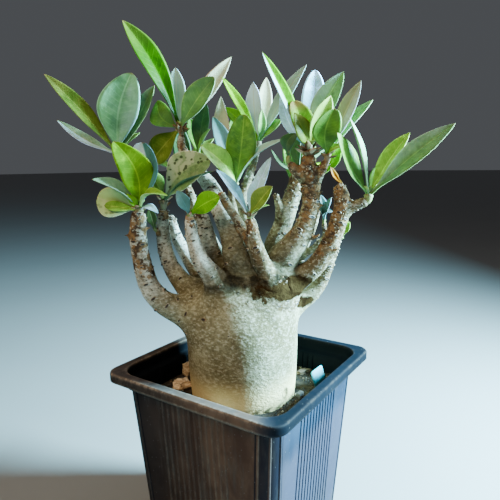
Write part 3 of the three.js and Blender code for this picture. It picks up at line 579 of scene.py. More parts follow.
# Stores on the mesh what the bark, the scars and the flakes read
def markCaudex(mesh, points, facts):
    owner, share = facts["owner"], facts["share"]
    onLimb, isStub = owner > 0, owner > len(branches)
    names = ["trunk", *branches]
    crownAt, wound = caudexMarks["crown"], caudexMarks["wound"]
    x, y, z = points.T
    limb = np.where(onLimb, smoothStep(share, 0.12, 0.5), 0)
    # the left limbs are paler: partly their own colour, partly painted light
    paleAndLit = limb * np.isin(owner, [names.index(name) for name in caudexMarks["paleAndLit"]])
    crust = smoothStep(facts["toEnd"], 8, 1) * onLimb * 0.75
    crust = np.where(owner == names.index("rightSide"), 0, crust)
    for name, (low, high, most, *fade) in caudexMarks["corky"].items():
        corky = smoothStep(z, low, high) * most
        if fade:
            corky *= smoothStep(z, *fade)
        crust = np.where(owner == names.index(name), np.maximum(crust, corky), crust)
    crust = np.where(isStub, 1.0, crust)
    # the creases between the limbs and the crown are darkened: dirt and painted shade
    crevice = smoothStep(facts["nearest"] - facts["field"], 0.15, 1.1)
    crevice *= smoothStep(z, *caudexMarks["creviceAbove"])
    crown = smoothStep(z, *crownAt["above"]) * smoothStep(z, *crownAt["below"])
    crown *= smoothStep(np.hypot(x, y), *crownAt["within"])
    crown *= np.where(onLimb, crownAt["onLimbs"] * smoothStep(share, 0.55, 0.2), crownAt["onTrunk"])
    rim = np.exp(-((woundDistance(points) - wound["rim"]) / wound["rimWide"]) ** 2)
    # soil clings to the foot, most on the right
    clinging = smoothStep(z, *caudexMarks["soilBelow"]) * (0.2 + 0.8 * smoothStep(x, -6, 10))
    clinging *= smoothStep(np.sin(0.9 * x + 2 * np.sin(z)), -0.8, 0.4)
    for darker in (crown, rim, clinging):
        crevice = np.maximum(crevice, darker)
    # painted shadows on the crown where the limbs shade it, and under the lowest right limb
    paintedShadow = np.zeros(len(points))
    for place, reach, most in caudexMarks["paintedShadows"]:
        paintedShadow = np.maximum(paintedShadow, most * smoothStep(awayFrom(points, place, reach), 1.3, 0.6))
    # leaf scars come in clumps on the limbs
    scars = np.where(onLimb, 0.25 + 0.75 * smoothStep(share, 0.2, 0.6), 0.02) * (1 - 0.5 * crevice)
    scars = np.where(isStub | (z < caudexMarks["scarsFrom"]), 0, scars)
    clump = np.sin(0.61 * x + 2 * np.sin(0.37 * z)) * np.sin(0.53 * z + 1.7 * np.sin(0.41 * y))
    scars *= (0.12 + 0.88 * smoothStep(clump, -0.25, 0.5)) * (1 - 0.95 * paintedShadow)
    stored = dict(paleAndLit=paleAndLit, limb=limb, crust=crust, crevice=crevice, paintedShadow=paintedShadow,
                  scarChance=scars, flakeChance=smoothStep(crust, 0.55, 0.9) * 0.9)
    for name, values in stored.items():
        setValues(mesh, name, values)
    setValues(mesh, "grow", toScene(facts["heading"]) * perMetre, "FLOAT_VECTOR")


def makeCaudex():
    look, wound = caudexLook, caudexMarks["wound"]
    parts = [trunkParts()]
    parts += [tube(stations, look["limbStep"], look["limbSides"]) for stations in branches.values()]
    parts += [tube(stations, look["stubStep"], look["stubSides"]) for stations in dryStubs]
    points, faces = joinParts(parts)
    host = makeObject("Caudex", meshFrom("Caudex rough", toScene(points), faces))
    remesh = host.modifiers.new("Join", "REMESH")
    remesh.mode, remesh.use_smooth_shade = "VOXEL", True
    remesh.voxel_size = look["voxel"] / perMetre
    mesh = appliedMesh(host)
    points = toPlant(getPoints(mesh))
    edges = getEdges(mesh)
    # each round moves the skin onto the limbs grown together and eases the joints
    for _ in range(look["fitRounds"]):
        facts = limbFacts(points)
        joint = np.clip(1 - (facts["second"] - facts["nearest"]) / look["joinReach"], 0, 1)
        joint *= smoothStep(points[:, 2], *look["joinHeights"])
        outward = getNormals(mesh)
        short = np.clip(facts["field"], -look["inwardMost"], look["outwardMost"])
        points = points - outward * short[:, None]
        points = relax(points, edges, joint, look["joinRounds"])
        setPoints(mesh, points)
    points = relax(points, edges, np.full(len(points), look["softness"]), look["softRounds"])
    fold = smoothStep(awayFrom(points, *caudexMarks["fold"]), 1.2, 0.6)
    points = relax(points, edges, look["foldSoftness"] * fold, look["foldRounds"])
    dent = np.exp(-(woundDistance(points) / wound["wide"]) ** 2)
    points = points - outward * dent[:, None] * wound["deep"]
    setPoints(mesh, points)
    markCaudex(mesh, points, facts)
    host.data = mesh
    return host


# A leaf scar: a low lens with a raised rim and a dark, sunken middle, one unit wide along x
def scarMesh():
    angle = circle(12)
    rings, dark = [], []
    for reach, rise, shade in ((0.62, -0.3, 0), (0.56, 0.02, 0), (0.47, 0.13, 0.15), (0.36, 0.1, 0.7),
                               (0.2, 0.03, 1)):
        rings.append(np.column_stack([reach * np.cos(angle), 0.42 * reach * np.sin(angle),
                                      angle * 0 + rise]))
        dark += [shade] * len(angle)
    mesh = meshFrom("Leaf scar", np.vstack(rings) / perMetre, loftFaces(len(rings), len(angle)))
    setValues(mesh, "sunken", dark)
    return mesh


# A thin curled flake of dry bark, one unit wide along x, that stands up along y
def flakeMesh():
    rings = []
    for y, wide, rise in ((-0.5, 0.35, -0.12), (-0.2, 0.5, 0.06), (0.15, 0.44, 0.2), (0.45, 0.2, 0.42)):
        rings.append([(-wide, y, rise - 0.12), (0, y, rise + 0.02), (wide, y, rise - 0.12),
                      (wide * 0.8, y, rise - 0.2), (0, y, rise - 0.1), (-wide * 0.8, y, rise - 0.2)])
    return meshFrom("Bark flake", np.vstack(rings) / perMetre, loftFaces(len(rings), len(rings[0])))


def reliefTree():
    tree, start, end = newTree("Bark relief", {"Relief": "Float", "Lumps": "Float", "Skin": "Material"})
    relief = start.outputs["Relief"]
    place = addNode(tree, "GeometryNodeInputPosition").outputs[0]

    def sway(size, detail, stretch=(1, 1, 1)):
        scaled = addNode(tree, "ShaderNodeVectorMath", {0: place, 1: stretch}, operation="MULTIPLY")
        noise = addNode(tree, "ShaderNodeTexNoise", {
            "Vector": scaled.outputs[0], "Scale": lumpScale / size, "Detail": detail})
        return calc(tree, "SUBTRACT", noise.outputs[0], 0.5)

    def times(a, b):
        return calc(tree, "MULTIPLY", a, b)

    def plus(a, b):
        return calc(tree, "ADD", a, b)

    broad = times(sway(22, 1), start.outputs["Lumps"])
    rings = times(times(sway(4.5, 2, (1, 1, 2.2)), relief), plus(named(tree, "limb"), 0.12))
    rough = times(times(sway(2.2, 2), relief), times(named(tree, "crust"), 2.2))
    total = times(plus(plus(broad, rings), rough), 1 / perMetre)
    normal = addNode(tree, "GeometryNodeInputNormal")
    shift = addNode(tree, "ShaderNodeVectorMath", {0: normal.outputs[0], "Scale": total},
                    operation="SCALE")
    moved = addNode(tree, "GeometryNodeSetPosition", {
        "Geometry": start.outputs[0], "Offset": shift.outputs[0]})
    return endTree(tree, end, moved.outputs[0], start.outputs["Skin"])


# Copies of a small shape on the bark where chance allows, facing out and lined up with the growth
def scatterTree(name, chanceName):
    tree, start, end = newTree(name, {
        "Spacing": "Float", "Width": "Float", "Seed": "Int", "Shape": "Object", "Skin": "Material"})
    scatter = spreadPoints(tree, start, chanceName, 400000.0)
    facing = addNode(tree, "FunctionNodeAlignRotationToVector", {"Vector": scatter.outputs["Normal"]},
                     axis="Z")
    turned = addNode(tree, "FunctionNodeAlignRotationToVector", {
        "Rotation": facing.outputs[0], "Vector": named(tree, "grow", "FLOAT_VECTOR")},
        axis="Y", pivot_axis="Z")
    size = calc(tree, "MULTIPLY", drawSize(tree, 3, 2.6, 0.28, 1.35), start.outputs["Width"])
    copies = putCopies(tree, scatter.outputs["Points"], start.outputs["Shape"], turned.outputs[0], size)
    return endTree(tree, end, copies, start.outputs["Skin"])


barkColours = dict(
    smooth=(0.3, 0.265, 0.16), shaded=(0.158, 0.128, 0.068), limb=(0.33, 0.265, 0.16),
    paleAndLit=(0.7, 0.64, 0.52), limbShade=(0.13, 0.1, 0.06), brown=(0.115, 0.068, 0.03),
    crest=(0.62, 0.58, 0.46), hollow=(0.085, 0.065, 0.035), pit=(0.07, 0.05, 0.03),
    fleck=(0.075, 0.055, 0.035), foot=(0.86, 0.63, 0.3), cork=(0.25, 0.135, 0.06),
    corkShade=(0.065, 0.04, 0.026), dirtAndShade=(0.01, 0.008, 0.005), dryDirtAndShade=(0.055, 0.042, 0.022),
    paintedShadow=(0.013, 0.0062, 0.0025), paintedShadowEdge=(0.036, 0.019, 0.007))
# the foot's yellow is painted warm light
footWarmLightHeights = (0.134, 0.112)  # the heights, in metres, between which the foot turns yellow


def barkFinish():
    f, c = Finish("Bark"), barkColours
    limb, crust, paleAndLit = f.stored("limb"), f.stored("crust"), f.stored("paleAndLit")
    patches = f.noise(14, 3, 0.6)
    skin = f.mix(f.band(patches, 0.36, 0.66), c["smooth"], c["shaded"])
    # the limbs are more silvery, with brown patches; the left limbs are paler, partly their own colour
    # and partly painted light, and have fewer patches
    silver = f.mix(paleAndLit, c["limb"], c["paleAndLit"])
    less = f.band(paleAndLit, 0, 1, 1, 0.5)
    shaded = f.times(f.patches(0.42, 0.58, 6, 3, 0.6, shift=2.0), less)
    silver = f.mix(shaded, silver, c["limbShade"])
    brownish = f.patches(0.42, 0.56, 11, 4, 0.65, (1, 1, 0.8), 12.0, most=0.85)
    silver = f.mix(f.times(brownish, less), silver, c["brown"])
    skin = f.mix(limb, skin, silver)
    # a fine net of wrinkles with darker hollows and paler crests
    net = f.noise(1.15, 3, 0.66, (1, 1, 1.6), 4.0)
    skin = f.mix(f.band(net, 0.52, 0.62, 0, 0.35), skin, c["crest"])
    skin = f.mix(f.band(net, 0.49, 0.39, 0, 0.45), skin, c["hollow"])
    skin = f.mix(f.band(f.cells(2.9, (1, 1, 1.3)), 0.15, 0.07, 0, 0.7), skin, c["pit"])
    # dark flecks, thicker on the branches
    fleck = f.patches(0.6, 0.67, 2.3, 3, 0.6, (1, 1, 1.7), 9.0, most=0.85)
    skin = f.mix(f.times(fleck, f.band(limb, 0, 1, 0.25, 1)), skin, c["fleck"])
    # a yellow foot: painted warm light
    foot = f.times(f.band(f.height(), *footWarmLightHeights, 0, 0.9), f.band(patches, 0.3, 0.6, 0.7, 1))
    skin = f.mix(foot, skin, c["foot"])
    flaky = f.patches(0.42, 0.58, 3.5, 4, 0.7, (1, 1, 1.4), 6.0)
    corky = f.mix(f.patches(0.4, 0.62, 2.5, 3, 0.6, shift=7.0), c["cork"], c["corkShade"])
    skin = f.mix(f.band(f.plus(crust, f.times(f.minus(flaky, 0.5), 0.7)), 0.42, 0.75), skin, corky)
    # dirt and painted shade in the hollows of the crown, and painted shadows with ragged edges
    dirtAndShade = f.mix(f.patches(0.4, 0.6, 3, 4, 0.65, shift=14.0), c["dirtAndShade"], c["dryDirtAndShade"])
    uneven = f.patches(0.3, 0.55, 5, 4, 0.65, shift=15.0, least=0.55, most=0.95)
    skin = f.mix(f.times(f.stored("crevice"), uneven), skin, dirtAndShade)
    ragged = f.times(f.minus(f.noise(3, 5, 0.75, shift=23.0), 0.5), 1.7)
    paintedShade = f.band(f.plus(f.stored("paintedShadow"), ragged), 0.33, 0.62)
    shadowColour = f.mix(f.patches(0.4, 0.62, 4, 4, 0.65, shift=24.0), c["paintedShadow"], c["paintedShadowEdge"])
    skin = f.mix(paintedShade, skin, shadowColour)
    rough = f.band(f.plus(crust, f.times(patches, 0.4)), 0.1, 1.0, 0.5, 0.85)
    bump = f.bump(net, 0.7, 1.0)
    bump = f.bump(f.noise(3.2, 3, 0.6, (1, 1, 2.0), 3.0), 0.6, 0.5, bump)
    bump = f.bump(f.times(f.noise(1.6, 3, 0.7, shift=5.0), crust), 0.9, 0.9, bump)
    return f.set(Base_Color=skin, Roughness=rough, Normal=bump, Specular_IOR_Level=0.0)


def scarFinish():
    f = Finish("Leaf scars")
    rim = f.mix(f.patches(0.35, 0.65, 5, 2), (0.2, 0.11, 0.05), (0.44, 0.38, 0.29))
    shade = f.mix(f.band(f.stored("sunken"), 0.1, 0.6), rim, (0.022, 0.013, 0.008))
    return f.set(Base_Color=shade, Roughness=0.7, Normal=f.bump(f.noise(0.8, 2), 0.15, 0.5))


def flakeFinish():
    f = Finish("Bark flakes")
    shade = f.mix(f.patches(0.38, 0.62, 3, 3), (0.36, 0.2, 0.09), (0.1, 0.06, 0.035))
    shade = f.mix(f.patches(0.5, 0.62, 5, 2, shift=3.0, most=0.6), shade, (0.52, 0.4, 0.26))
    return f.set(Base_Color=shade, Roughness=0.8, Normal=f.bump(f.noise(0.8, 2), 0.12, 0.6))


# A piece made of copies of one small shape over the bark
def onBark(name, shape, tree, spacing, width, seed, skin):
    pattern = makeObject(name + " pattern", shape)
    piece = makeObject(name, caudex.data.copy())
    piece.data = runTree(piece, tree, {
        "Spacing": spacing / perMetre, "Width": width, "Seed": seed, "Shape": pattern, "Skin": skin})
    bpy.data.objects.remove(pattern)
    return piece


caudex = makeCaudex()
caudex.data = runTree(caudex, reliefTree(), {
    "Relief": caudexLook["relief"], "Lumps": caudexLook["lumps"], "Skin": barkFinish()})
scars = onBark("Leaf_scars", scarMesh(), scatterTree("Leaf scars", "scarChance"),
               caudexLook["scarSpacing"], caudexLook["scarWidth"], caudexLook["seed"], scarFinish())
flakes = onBark("Bark_flakes", flakeMesh(), scatterTree("Bark flakes", "flakeChance"),
                caudexLook["flakeSpacing"], caudexLook["flakeWidth"], caudexLook["seed"] + 1,
                flakeFinish())
finishPiece(flakes, None)
finishPiece(caudex, "caudex")
finishPiece(scars, None)
print("caudex", len(caudex.data.polygons), "faces; leaf scars", len(scars.data.polygons))


# Leaves

# What a leaf shows: top and back colour, bloom, mottling, how dry its edges are, and how strong a
# painted highlight one half of its blade has, below 0 for the half left of the midrib
# The pale blue of the sky, skyBack, silver and blueLeft looks is a painted reflection of the light
leafLooks = {
    "mid": dict(top=(0.086, 0.2, 0.016), back=(0.13, 0.22, 0.05), bloom=0.1),
    "fresh": dict(top=(0.145, 0.35, 0.006), back=(0.2, 0.33, 0.06)),
    "golden": dict(top=(0.11, 0.225, 0.004), back=(0.2, 0.33, 0.06)),
    "tall": dict(top=(0.014, 0.06, 0.0002), back=(0.2, 0.33, 0.06), dry=0.15),
    "rich": dict(top=(0.082, 0.2, 0.01), back=(0.13, 0.22, 0.05), bloom=0.1),
    "lime": dict(top=(0.06, 0.15, 0.018), back=(0.24, 0.36, 0.08), bloom=0.15, mottle=0.15, half=-0.15),
    "bright": dict(top=(0.1, 0.32, 0.003), back=(0.22, 0.36, 0.06)),
    "light": dict(top=(0.18, 0.34, 0.03), back=(0.26, 0.38, 0.1)),
    "lightOlive": dict(top=(0.17, 0.27, 0.03), back=(0.26, 0.32, 0.1), mottle=0.1),
    "deep": dict(top=(0.035, 0.09, 0.015), back=(0.07, 0.13, 0.04), bloom=0.15),
    "olive": dict(top=(0.115, 0.155, 0.018), back=(0.13, 0.17, 0.03), dry=0.2),
    "darkOlive": dict(top=(0.075, 0.105, 0.012), back=(0.13, 0.17, 0.03), dry=0.2),
    "curled": dict(top=(0.1, 0.24, 0.01), back=(0.2, 0.25, 0.06), dry=0.9),
    "greyGreen": dict(top=(0.09, 0.25, 0.03), back=(0.22, 0.32, 0.13), bloom=0.2),
    "twoTone": dict(top=(0.14, 0.2, 0.08), back=(0.3, 0.3, 0.18), bloom=0.2, half=-0.8),
    "pale": dict(top=(0.11, 0.35, 0.12), back=(0.2, 0.32, 0.13), bloom=0.3, half=0.25),
    "teal": dict(top=(0.02, 0.085, 0.06), back=(0.1, 0.19, 0.13), bloom=0.6),
    "blueTeal": dict(top=(0.03, 0.15, 0.15), back=(0.1, 0.19, 0.13), bloom=0.3, half=-1.0),
    "blueLeft": dict(top=(0.17, 0.4, 0.44), back=(0.3, 0.45, 0.45), bloom=0.6, half=-0.6),
    "silver": dict(top=(0.36, 0.62, 0.68), back=(0.44, 0.62, 0.6), bloom=0.7),
    "sky": dict(top=(0.36, 0.74, 0.92), back=(0.45, 0.58, 0.6), bloom=0.4),
    "skyLeft": dict(top=(0.075, 0.24, 0.006), back=(0.2, 0.33, 0.06), half=-0.9),
    "skyEdge": dict(top=(0.1, 0.32, 0.06), back=(0.2, 0.33, 0.06), bloom=0.2, half=-0.35),
    "skyBack": dict(top=(0.15, 0.25, 0.1), back=(0.48, 0.66, 0.74), bloom=0.3, turned=True),
    "silverBack": dict(top=(0.1, 0.19, 0.07), back=(0.28, 0.42, 0.32), bloom=0.4, turned=True),
    "tanBack": dict(top=(0.12, 0.18, 0.05), back=(0.44, 0.4, 0.25), dry=0.25, turned=True),
    "greyTan": dict(top=(0.12, 0.18, 0.05), back=(0.25, 0.28, 0.14), dry=0.2, half=0.4, turned=True),
    "dusty": dict(top=(0.12, 0.2, 0.05), back=(0.42, 0.6, 0.2), mottle=0.5, turned=True),
    "dullBack": dict(top=(0.1, 0.13, 0.05), back=(0.06, 0.085, 0.025), turned=True),
    "frosted": dict(top=(0.13, 0.27, 0.09), back=(0.2, 0.3, 0.12), bloom=0.35),
    "mottled": dict(top=(0.12, 0.22, 0.05), back=(0.22, 0.26, 0.1), bloom=0.1, mottle=1.0),
    "spotted": dict(top=(0.17, 0.34, 0.03), back=(0.26, 0.34, 0.1), mottle=0.35),
    "dryBract": dict(top=(0.07, 0.035, 0.016), back=(0.14, 0.075, 0.035), dry=0.3),
    "paleBract": dict(top=(0.45, 0.34, 0.2), back=(0.5, 0.4, 0.26), dry=0.6),
    "withered": dict(top=(0.3, 0.11, 0.008), back=(0.26, 0.095, 0.008), dry=0.5),
}


# A leaf's settings: where its tip is, how wide it is, which way its upper side faces, its look, how
# many degrees its halves fold up, how far it bows up and sways sideways, where along it is widest
# and how pointed it is
def leaf(tip, width, faces, look, fold=18, bow=2, sway=0, widest=0.56, sharp=0.8):
    return dict(tip=tip, width=width, faces=faces, look=look, fold=fold, bow=bow, sway=sway,
                widest=widest, sharp=sharp)


# Each shoot: the branch it grows on, stem stations on the way (via), its bud and its leaves
shoots = {
    "shoot_far_left": dict(on="farLeft", bud=(-64, -9, 233, 3), leaves=[
        leaf((-75, -18, 274), 20, (0.3, -1, 0.2), "golden", sway=6, widest=0.5, sharp=0.6),
        leaf((-88, -22, 252), 13, (-0.2, -0.5, 1), "frosted", fold=25, bow=3),
        leaf((-89.5, -9, 241), 19, (0, -1, 0.4), "dusty", sway=-2, widest=0.62, sharp=0.55),
        leaf((-84, -14, 236), 7, (0, -1, 0.6), "light", sway=-1, widest=0.7, sharp=0.5),
        leaf((-70, -14, 243), 5, (0, -1, 0.6), "fresh"),
        leaf((-44, -22, 242), 7, (-0.3, -0.4, 1), "light", fold=30, bow=6),
        leaf((-51, -15, 231), 6, (0, -0.5, 1), "silver", bow=3),
        leaf((-62, 0, 274), 19, (-0.4, -1, 0.2), "blueTeal", fold=26, sway=7, sharp=0.45),
    ]),
    "shoot_high_left": dict(on="farLeftTwig", via=[[-71, 3, 243, 1.6], [-76, 5, 255, 1.5]],
                            bud=(-79, 6, 267, 2.2), leaves=[
        leaf((-119, -2, 315), 11, (0.5, -1, 0.6), "darkOlive", fold=22, bow=3),
        leaf((-67, 2, 316), 26, (0, -1, 0.1), "pale", fold=14, sway=-3.5, sharp=0.6),
        leaf((-55, 12, 310), 13, (-0.4, -1, 0.2), "lime", fold=24, sway=2),
        leaf((-118, 10, 289), 9, (0, -0.6, 1), "twoTone", fold=14, bow=-3),
        leaf((-92, 36, 292), 13, (0, 0, 1), "mid", bow=4),
        leaf((-72, 38, 282), 12, (0, 0, 1), "mid", bow=3),
    ]),
    "shoot_upper_left": dict(on="upperLeft", bud=(-40, 12, 283, 2.4), leaves=[
        leaf((-69, -6, 344), 14.5, (0.4, -1, 0.3), "tall", fold=24, bow=1, sway=4, widest=0.66),
        leaf((-16, 2, 313), 17, (-0.4, -1, 0.2), "greyGreen", fold=20, sharp=0.6),
        leaf((-6, 18, 328), 11, (0.2, -1, 0.3), "tanBack", fold=16),
        leaf((-43, 24, 323), 12, (0, -1, 0.2), "silverBack"),
        leaf((-54, 14, 301), 15, (0.2, -1, 0.2), "rich", fold=12, sway=-5.5),
        leaf((-62.5, 23, 261), 19, (-0.2, -1, 0.3), "olive", fold=10, bow=1),
        leaf((-30, 38, 305), 13, (0, 0.2, 1), "mid", bow=4),
    ]),
    "shoot_left_twig": dict(on="upperLeftTwig", bud=(-29, 17, 265, 1.9), leaves=[
        leaf((-23, 20, 300), 12, (-0.3, -1, 0.2), "deep", fold=24),
        leaf((-35, 27, 291), 10, (0.3, -1, 0.2), "mid", fold=20),
        leaf((-20, 12, 283), 5, (-1, -0.5, 0.2), "greyGreen"),
    ]),
    "shoot_left": dict(on="left", bud=(-51, 6, 237, 2.4), leaves=[
        leaf((-19, -9, 263), 25, (-0.2, -1, 0.5), "mottled", fold=10, sway=-6, widest=0.5, sharp=0.5),
        leaf((-17, -12, 256), 11, (-0.4, 0, 1), "deep", fold=16, bow=3),
        leaf((-68, 26, 256), 13, (0, 0, 1), "mid", bow=4),
    ]),
    "shoot_left_spur": dict(on="leftSpur", bud=(-57.5, 4, 219.5, 1.2), leaves=[
        leaf((-60, 1, 232.5), 6.5, (0.2, -1, 0.1), "dullBack", fold=22, sharp=0.6),
    ]),
    "shoot_inner_left": dict(on="innerLeft", bud=(-32, -14, 230, 1.9), leaves=[
        leaf((-13, -22, 241), 14, (-0.3, -1, 0.5), "bright", fold=12, widest=0.62, sharp=0.5),
        leaf((-39, -18, 245), 8, (0.2, -1, 0.2), "teal", fold=16),
    ]),
    "shoot_middle": dict(on="speckledTwig", bud=(-4, 4, 248, 2.1), leaves=[
        leaf((2, -5, 290), 19, (-0.1, -1, 0.2), "rich", fold=14, sway=1, widest=0.55, sharp=0.5),
        leaf((-24, -17, 271), 14, (0, -1, 0.7), "spotted", bow=4, widest=0.62, sharp=0.5),
        leaf((27, -10, 275), 8, (-0.5, -0.4, 0.8), "silverBack", fold=20, bow=5),
        leaf((-13, 14, 303), 11, (0.2, -1, 0.1), "tanBack", sway=-4),
        leaf((-18, 6, 290), 12, (0.4, -1, 0.2), "teal", fold=22),
    ]),
    "shoot_crown": dict(on="speckled", bud=(11, 12, 274, 2.2), leaves=[
        leaf((-12, 8, 314), 7, (0.5, -1, 0.3), "fresh", fold=24),
        leaf((8, 22, 313), 11, (-0.4, -1, 0.2), "skyBack"),
        leaf((17, 28, 317), 10, (0.2, -1, 0.1), "tanBack"),
        leaf((42, 14, 322), 10, (-0.6, -1, 0.4), "silverBack", fold=22),
        leaf((-11, 20, 297), 10, (0.3, -1, 0.3), "bright"),
        leaf((26, 12, 288), 10, (-0.2, -0.8, 0.7), "mid"),
        leaf((13, 6, 294), 6, (0.4, -1, 0.1), "greyGreen"),
        leaf((12, 44, 300), 13, (0, 0.2, 1), "mid", bow=4),
    ]),
    "shoot_main": dict(on="main", bud=(41, -9, 268, 3.6), leaves=[
        leaf((13, -8, 325), 9, (0.6, -1, 0.3), "skyLeft", fold=22, sway=-1),
        leaf((25, 2, 303), 8, (-0.6, -1, 0.4), "sky", sway=-3),
        leaf((47, 10, 318), 15, (0, -1, 0.2), "sky", sharp=0.6),
        leaf((63, 0, 315), 15, (-0.4, -1, 0.2), "skyEdge", sway=-2),
        leaf((53, -15, 299), 13, (0.5, -1, 0.1), "lightOlive", fold=24, sway=-3),
        leaf((31, -21, 289), 11, (0.1, -1, 0.4), "olive", fold=16),
        leaf((31, -10, 297), 15, (0.3, -1, 0.4), "curled", sharp=0.5),
        leaf((56, 26, 294), 13, (0, 0.2, 1), "mid", bow=4),
        leaf((32, 28, 290), 12, (0, 0.2, 1), "mid", bow=4),
    ]),
    "shoot_main_side": dict(on="mainSide", bud=(52, -12, 265, 2), leaves=[
        leaf((54, -21, 291), 17, (0.1, -1, 0.2), "rich", sway=-4, sharp=0.5),
        leaf((73, -4, 309), 10, (-0.4, -1, 0.2), "greyTan"),
        leaf((83, 6, 299), 11, (-0.5, -0.6, 0.9), "greyGreen"),
        leaf((60, -17, 270), 6, (-0.3, -0.6, 0.7), "light"),
        leaf((66, 16, 292), 10, (0, 0, 1), "mid", bow=3),
    ]),
    "shoot_knob": dict(on="mainKnob", bud=(28.5, -12, 264, 1.6), leaves=[
        leaf((33, -10.5, 278), 9, (-0.2, -1, 0.2), "deep", fold=24, sway=-3, sharp=0.5),
    ]),
    "shoot_spur": dict(on="mainSpur", bud=(50, -1, 252, 1.4), leaves=[
        leaf((61.6, -1, 269.5), 8, (-0.3, -1, 0.3), "bright", sway=1.5, sharp=0.5),
    ]),
    "shoot_inner_right": dict(on="innerRight", bud=(38, 13, 254, 2), leaves=[
        leaf((19, 8, 269), 6, (-1, 0.3, -0.8), "deep", fold=26),
        leaf((37, 12, 280), 9, (-0.8, -0.7, 0.2), "deep", fold=20),
        leaf((50, 26, 272), 10, (0, 0, 1), "mid", bow=3),
    ]),
    "shoot_right": dict(on="rightSide", bud=(78, -11, 240, 2.9), leaves=[
        leaf((125, -20, 282), 14, (-0.5, -1, 0.7), "lime", fold=16, bow=3),
        leaf((104, -4, 278), 12, (-0.8, -0.8, 0.3), "light", fold=24),
        leaf((55, -26, 277), 20, (0.8, -0.8, 0.6), "rich", fold=14, bow=-2),
        leaf((63, -20, 286), 8, (0.9, -0.5, 0.2), "frosted", fold=20),
        leaf((96, 16, 260), 9, (0, 0, 1), "mid"),
    ]),
    "shoot_young": dict(on="young", bud=(54, 9, 223, 1.3), leaves=[
        leaf((51, 8, 240), 6, (0.2, -1, 0.1), "teal"),
        leaf((58, 5, 238), 5, (-0.7, -0.7, 0.1), "teal"),
        leaf((59, 4, 229), 6, (0, -0.5, 1), "teal", bow=3),
    ]),
    "shoot_low_right": dict(on="rightBehind", bud=(67, 14, 211, 1.7), leaves=[
        leaf((72, 13, 221), 6, (-0.5, -1, 0.2), "light"),
        leaf((70, 28, 224), 8, (0, 0, 1), "light"),
    ]),
    "shoot_front": dict(on="front", bud=(4.5, -18, 229, 2), leaves=[
        leaf((18, -25, 247), 12, (-0.6, -1, 0.5), "lightOlive", fold=22, bow=1, sharp=0.7),
        leaf((16, -25, 236), 4, (-0.4, -0.5, 1), "light"),
        leaf((-15, -21, 257), 8, (0.7, -0.8, 0.6), "blueLeft", fold=20),
        leaf((12, -13, 253), 10, (-0.2, -1, 0.2), "silver"),
        leaf((18, -9, 264), 8, (-0.5, -1, 0.3), "silver"),
    ]),
    "shoot_back_left": dict(on="backLeft", bud=(-40, 46, 247, 2.4), leaves=[
        leaf((-72, 64, 262), 14, (0, 0, 1), "mid", bow=4),
        leaf((-50, 86, 272), 15, (0, 0, 1), "fresh", bow=5),
        leaf((-22, 72, 280), 14, (0, 0, 1), "mid", bow=4),
        leaf((-46, 52, 290), 13, (0, -1, 0.3), "deep"),
    ]),
    "shoot_back_middle": dict(on="backMiddle", bud=(-8, 49, 251, 2.4), leaves=[
        leaf((-20, 92, 266), 15, (0, 0, 1), "mid", bow=5),
        leaf((14, 84, 276), 14, (0, 0, 1), "fresh", bow=4),
        leaf((-4, 58, 298), 14, (0, -1, 0.3), "mid"),
        leaf((16, 60, 286), 12, (-0.4, -0.4, 0.9), "deep"),
    ]),
    "shoot_back_right": dict(on="backRight", bud=(36, 47, 243, 2.4), leaves=[
        leaf((72, 74, 260), 14, (0, 0, 1), "fresh", bow=4),
        leaf((42, 90, 268), 15, (0, 0, 1), "mid", bow=5),
        leaf((36, 60, 284), 13, (0, -1, 0.3), "mid"),
        leaf((64, 50, 272), 12, (0, 0, 1), "deep", bow=3),
    ]),
    "withered_leaf": dict(on="right", bud=(62, -9, 247, 1.4), leaves=[
        leaf((55, -6, 258), 4, (0.6, -1, 0.2), "withered", bow=-2, fold=30),
    ]),
}

# Thicknesses at the margin, the blade and the stalk, the groove above and keel below the midrib,
# and seat, the share of the bud's radius at which a leaf starts
leafShape = dict(station=2.4, stationsLeast=8, stationsMost=34, columns=12, margin=0.34, blade=0.75,
                 petiole=1.6, petioleWide=2.4, groove=0.22, keel=0.5, ridgeWide=0.75, wave=0.3,
                 softFold=0.2, crowding=1.15, seat=0.3)


# Half the width of a blade at t, from 0 at its stalk to 1 at its tip
def bladeHalf(t, width, widest, sharp):
    if t < widest:
        grow = math.sin(t / widest * math.pi / 2) ** 1.5
        least = min(leafShape["petioleWide"], 0.35 * width) / 2
    else:
        grow = max(math.cos((t - widest) / (1 - widest) * math.pi / 2), 0) ** sharp
        least = 0.12 + 0.2 * (1 - float(smoothStep(t, 0.97, 1)))
    return max(width / 2 * grow, least)


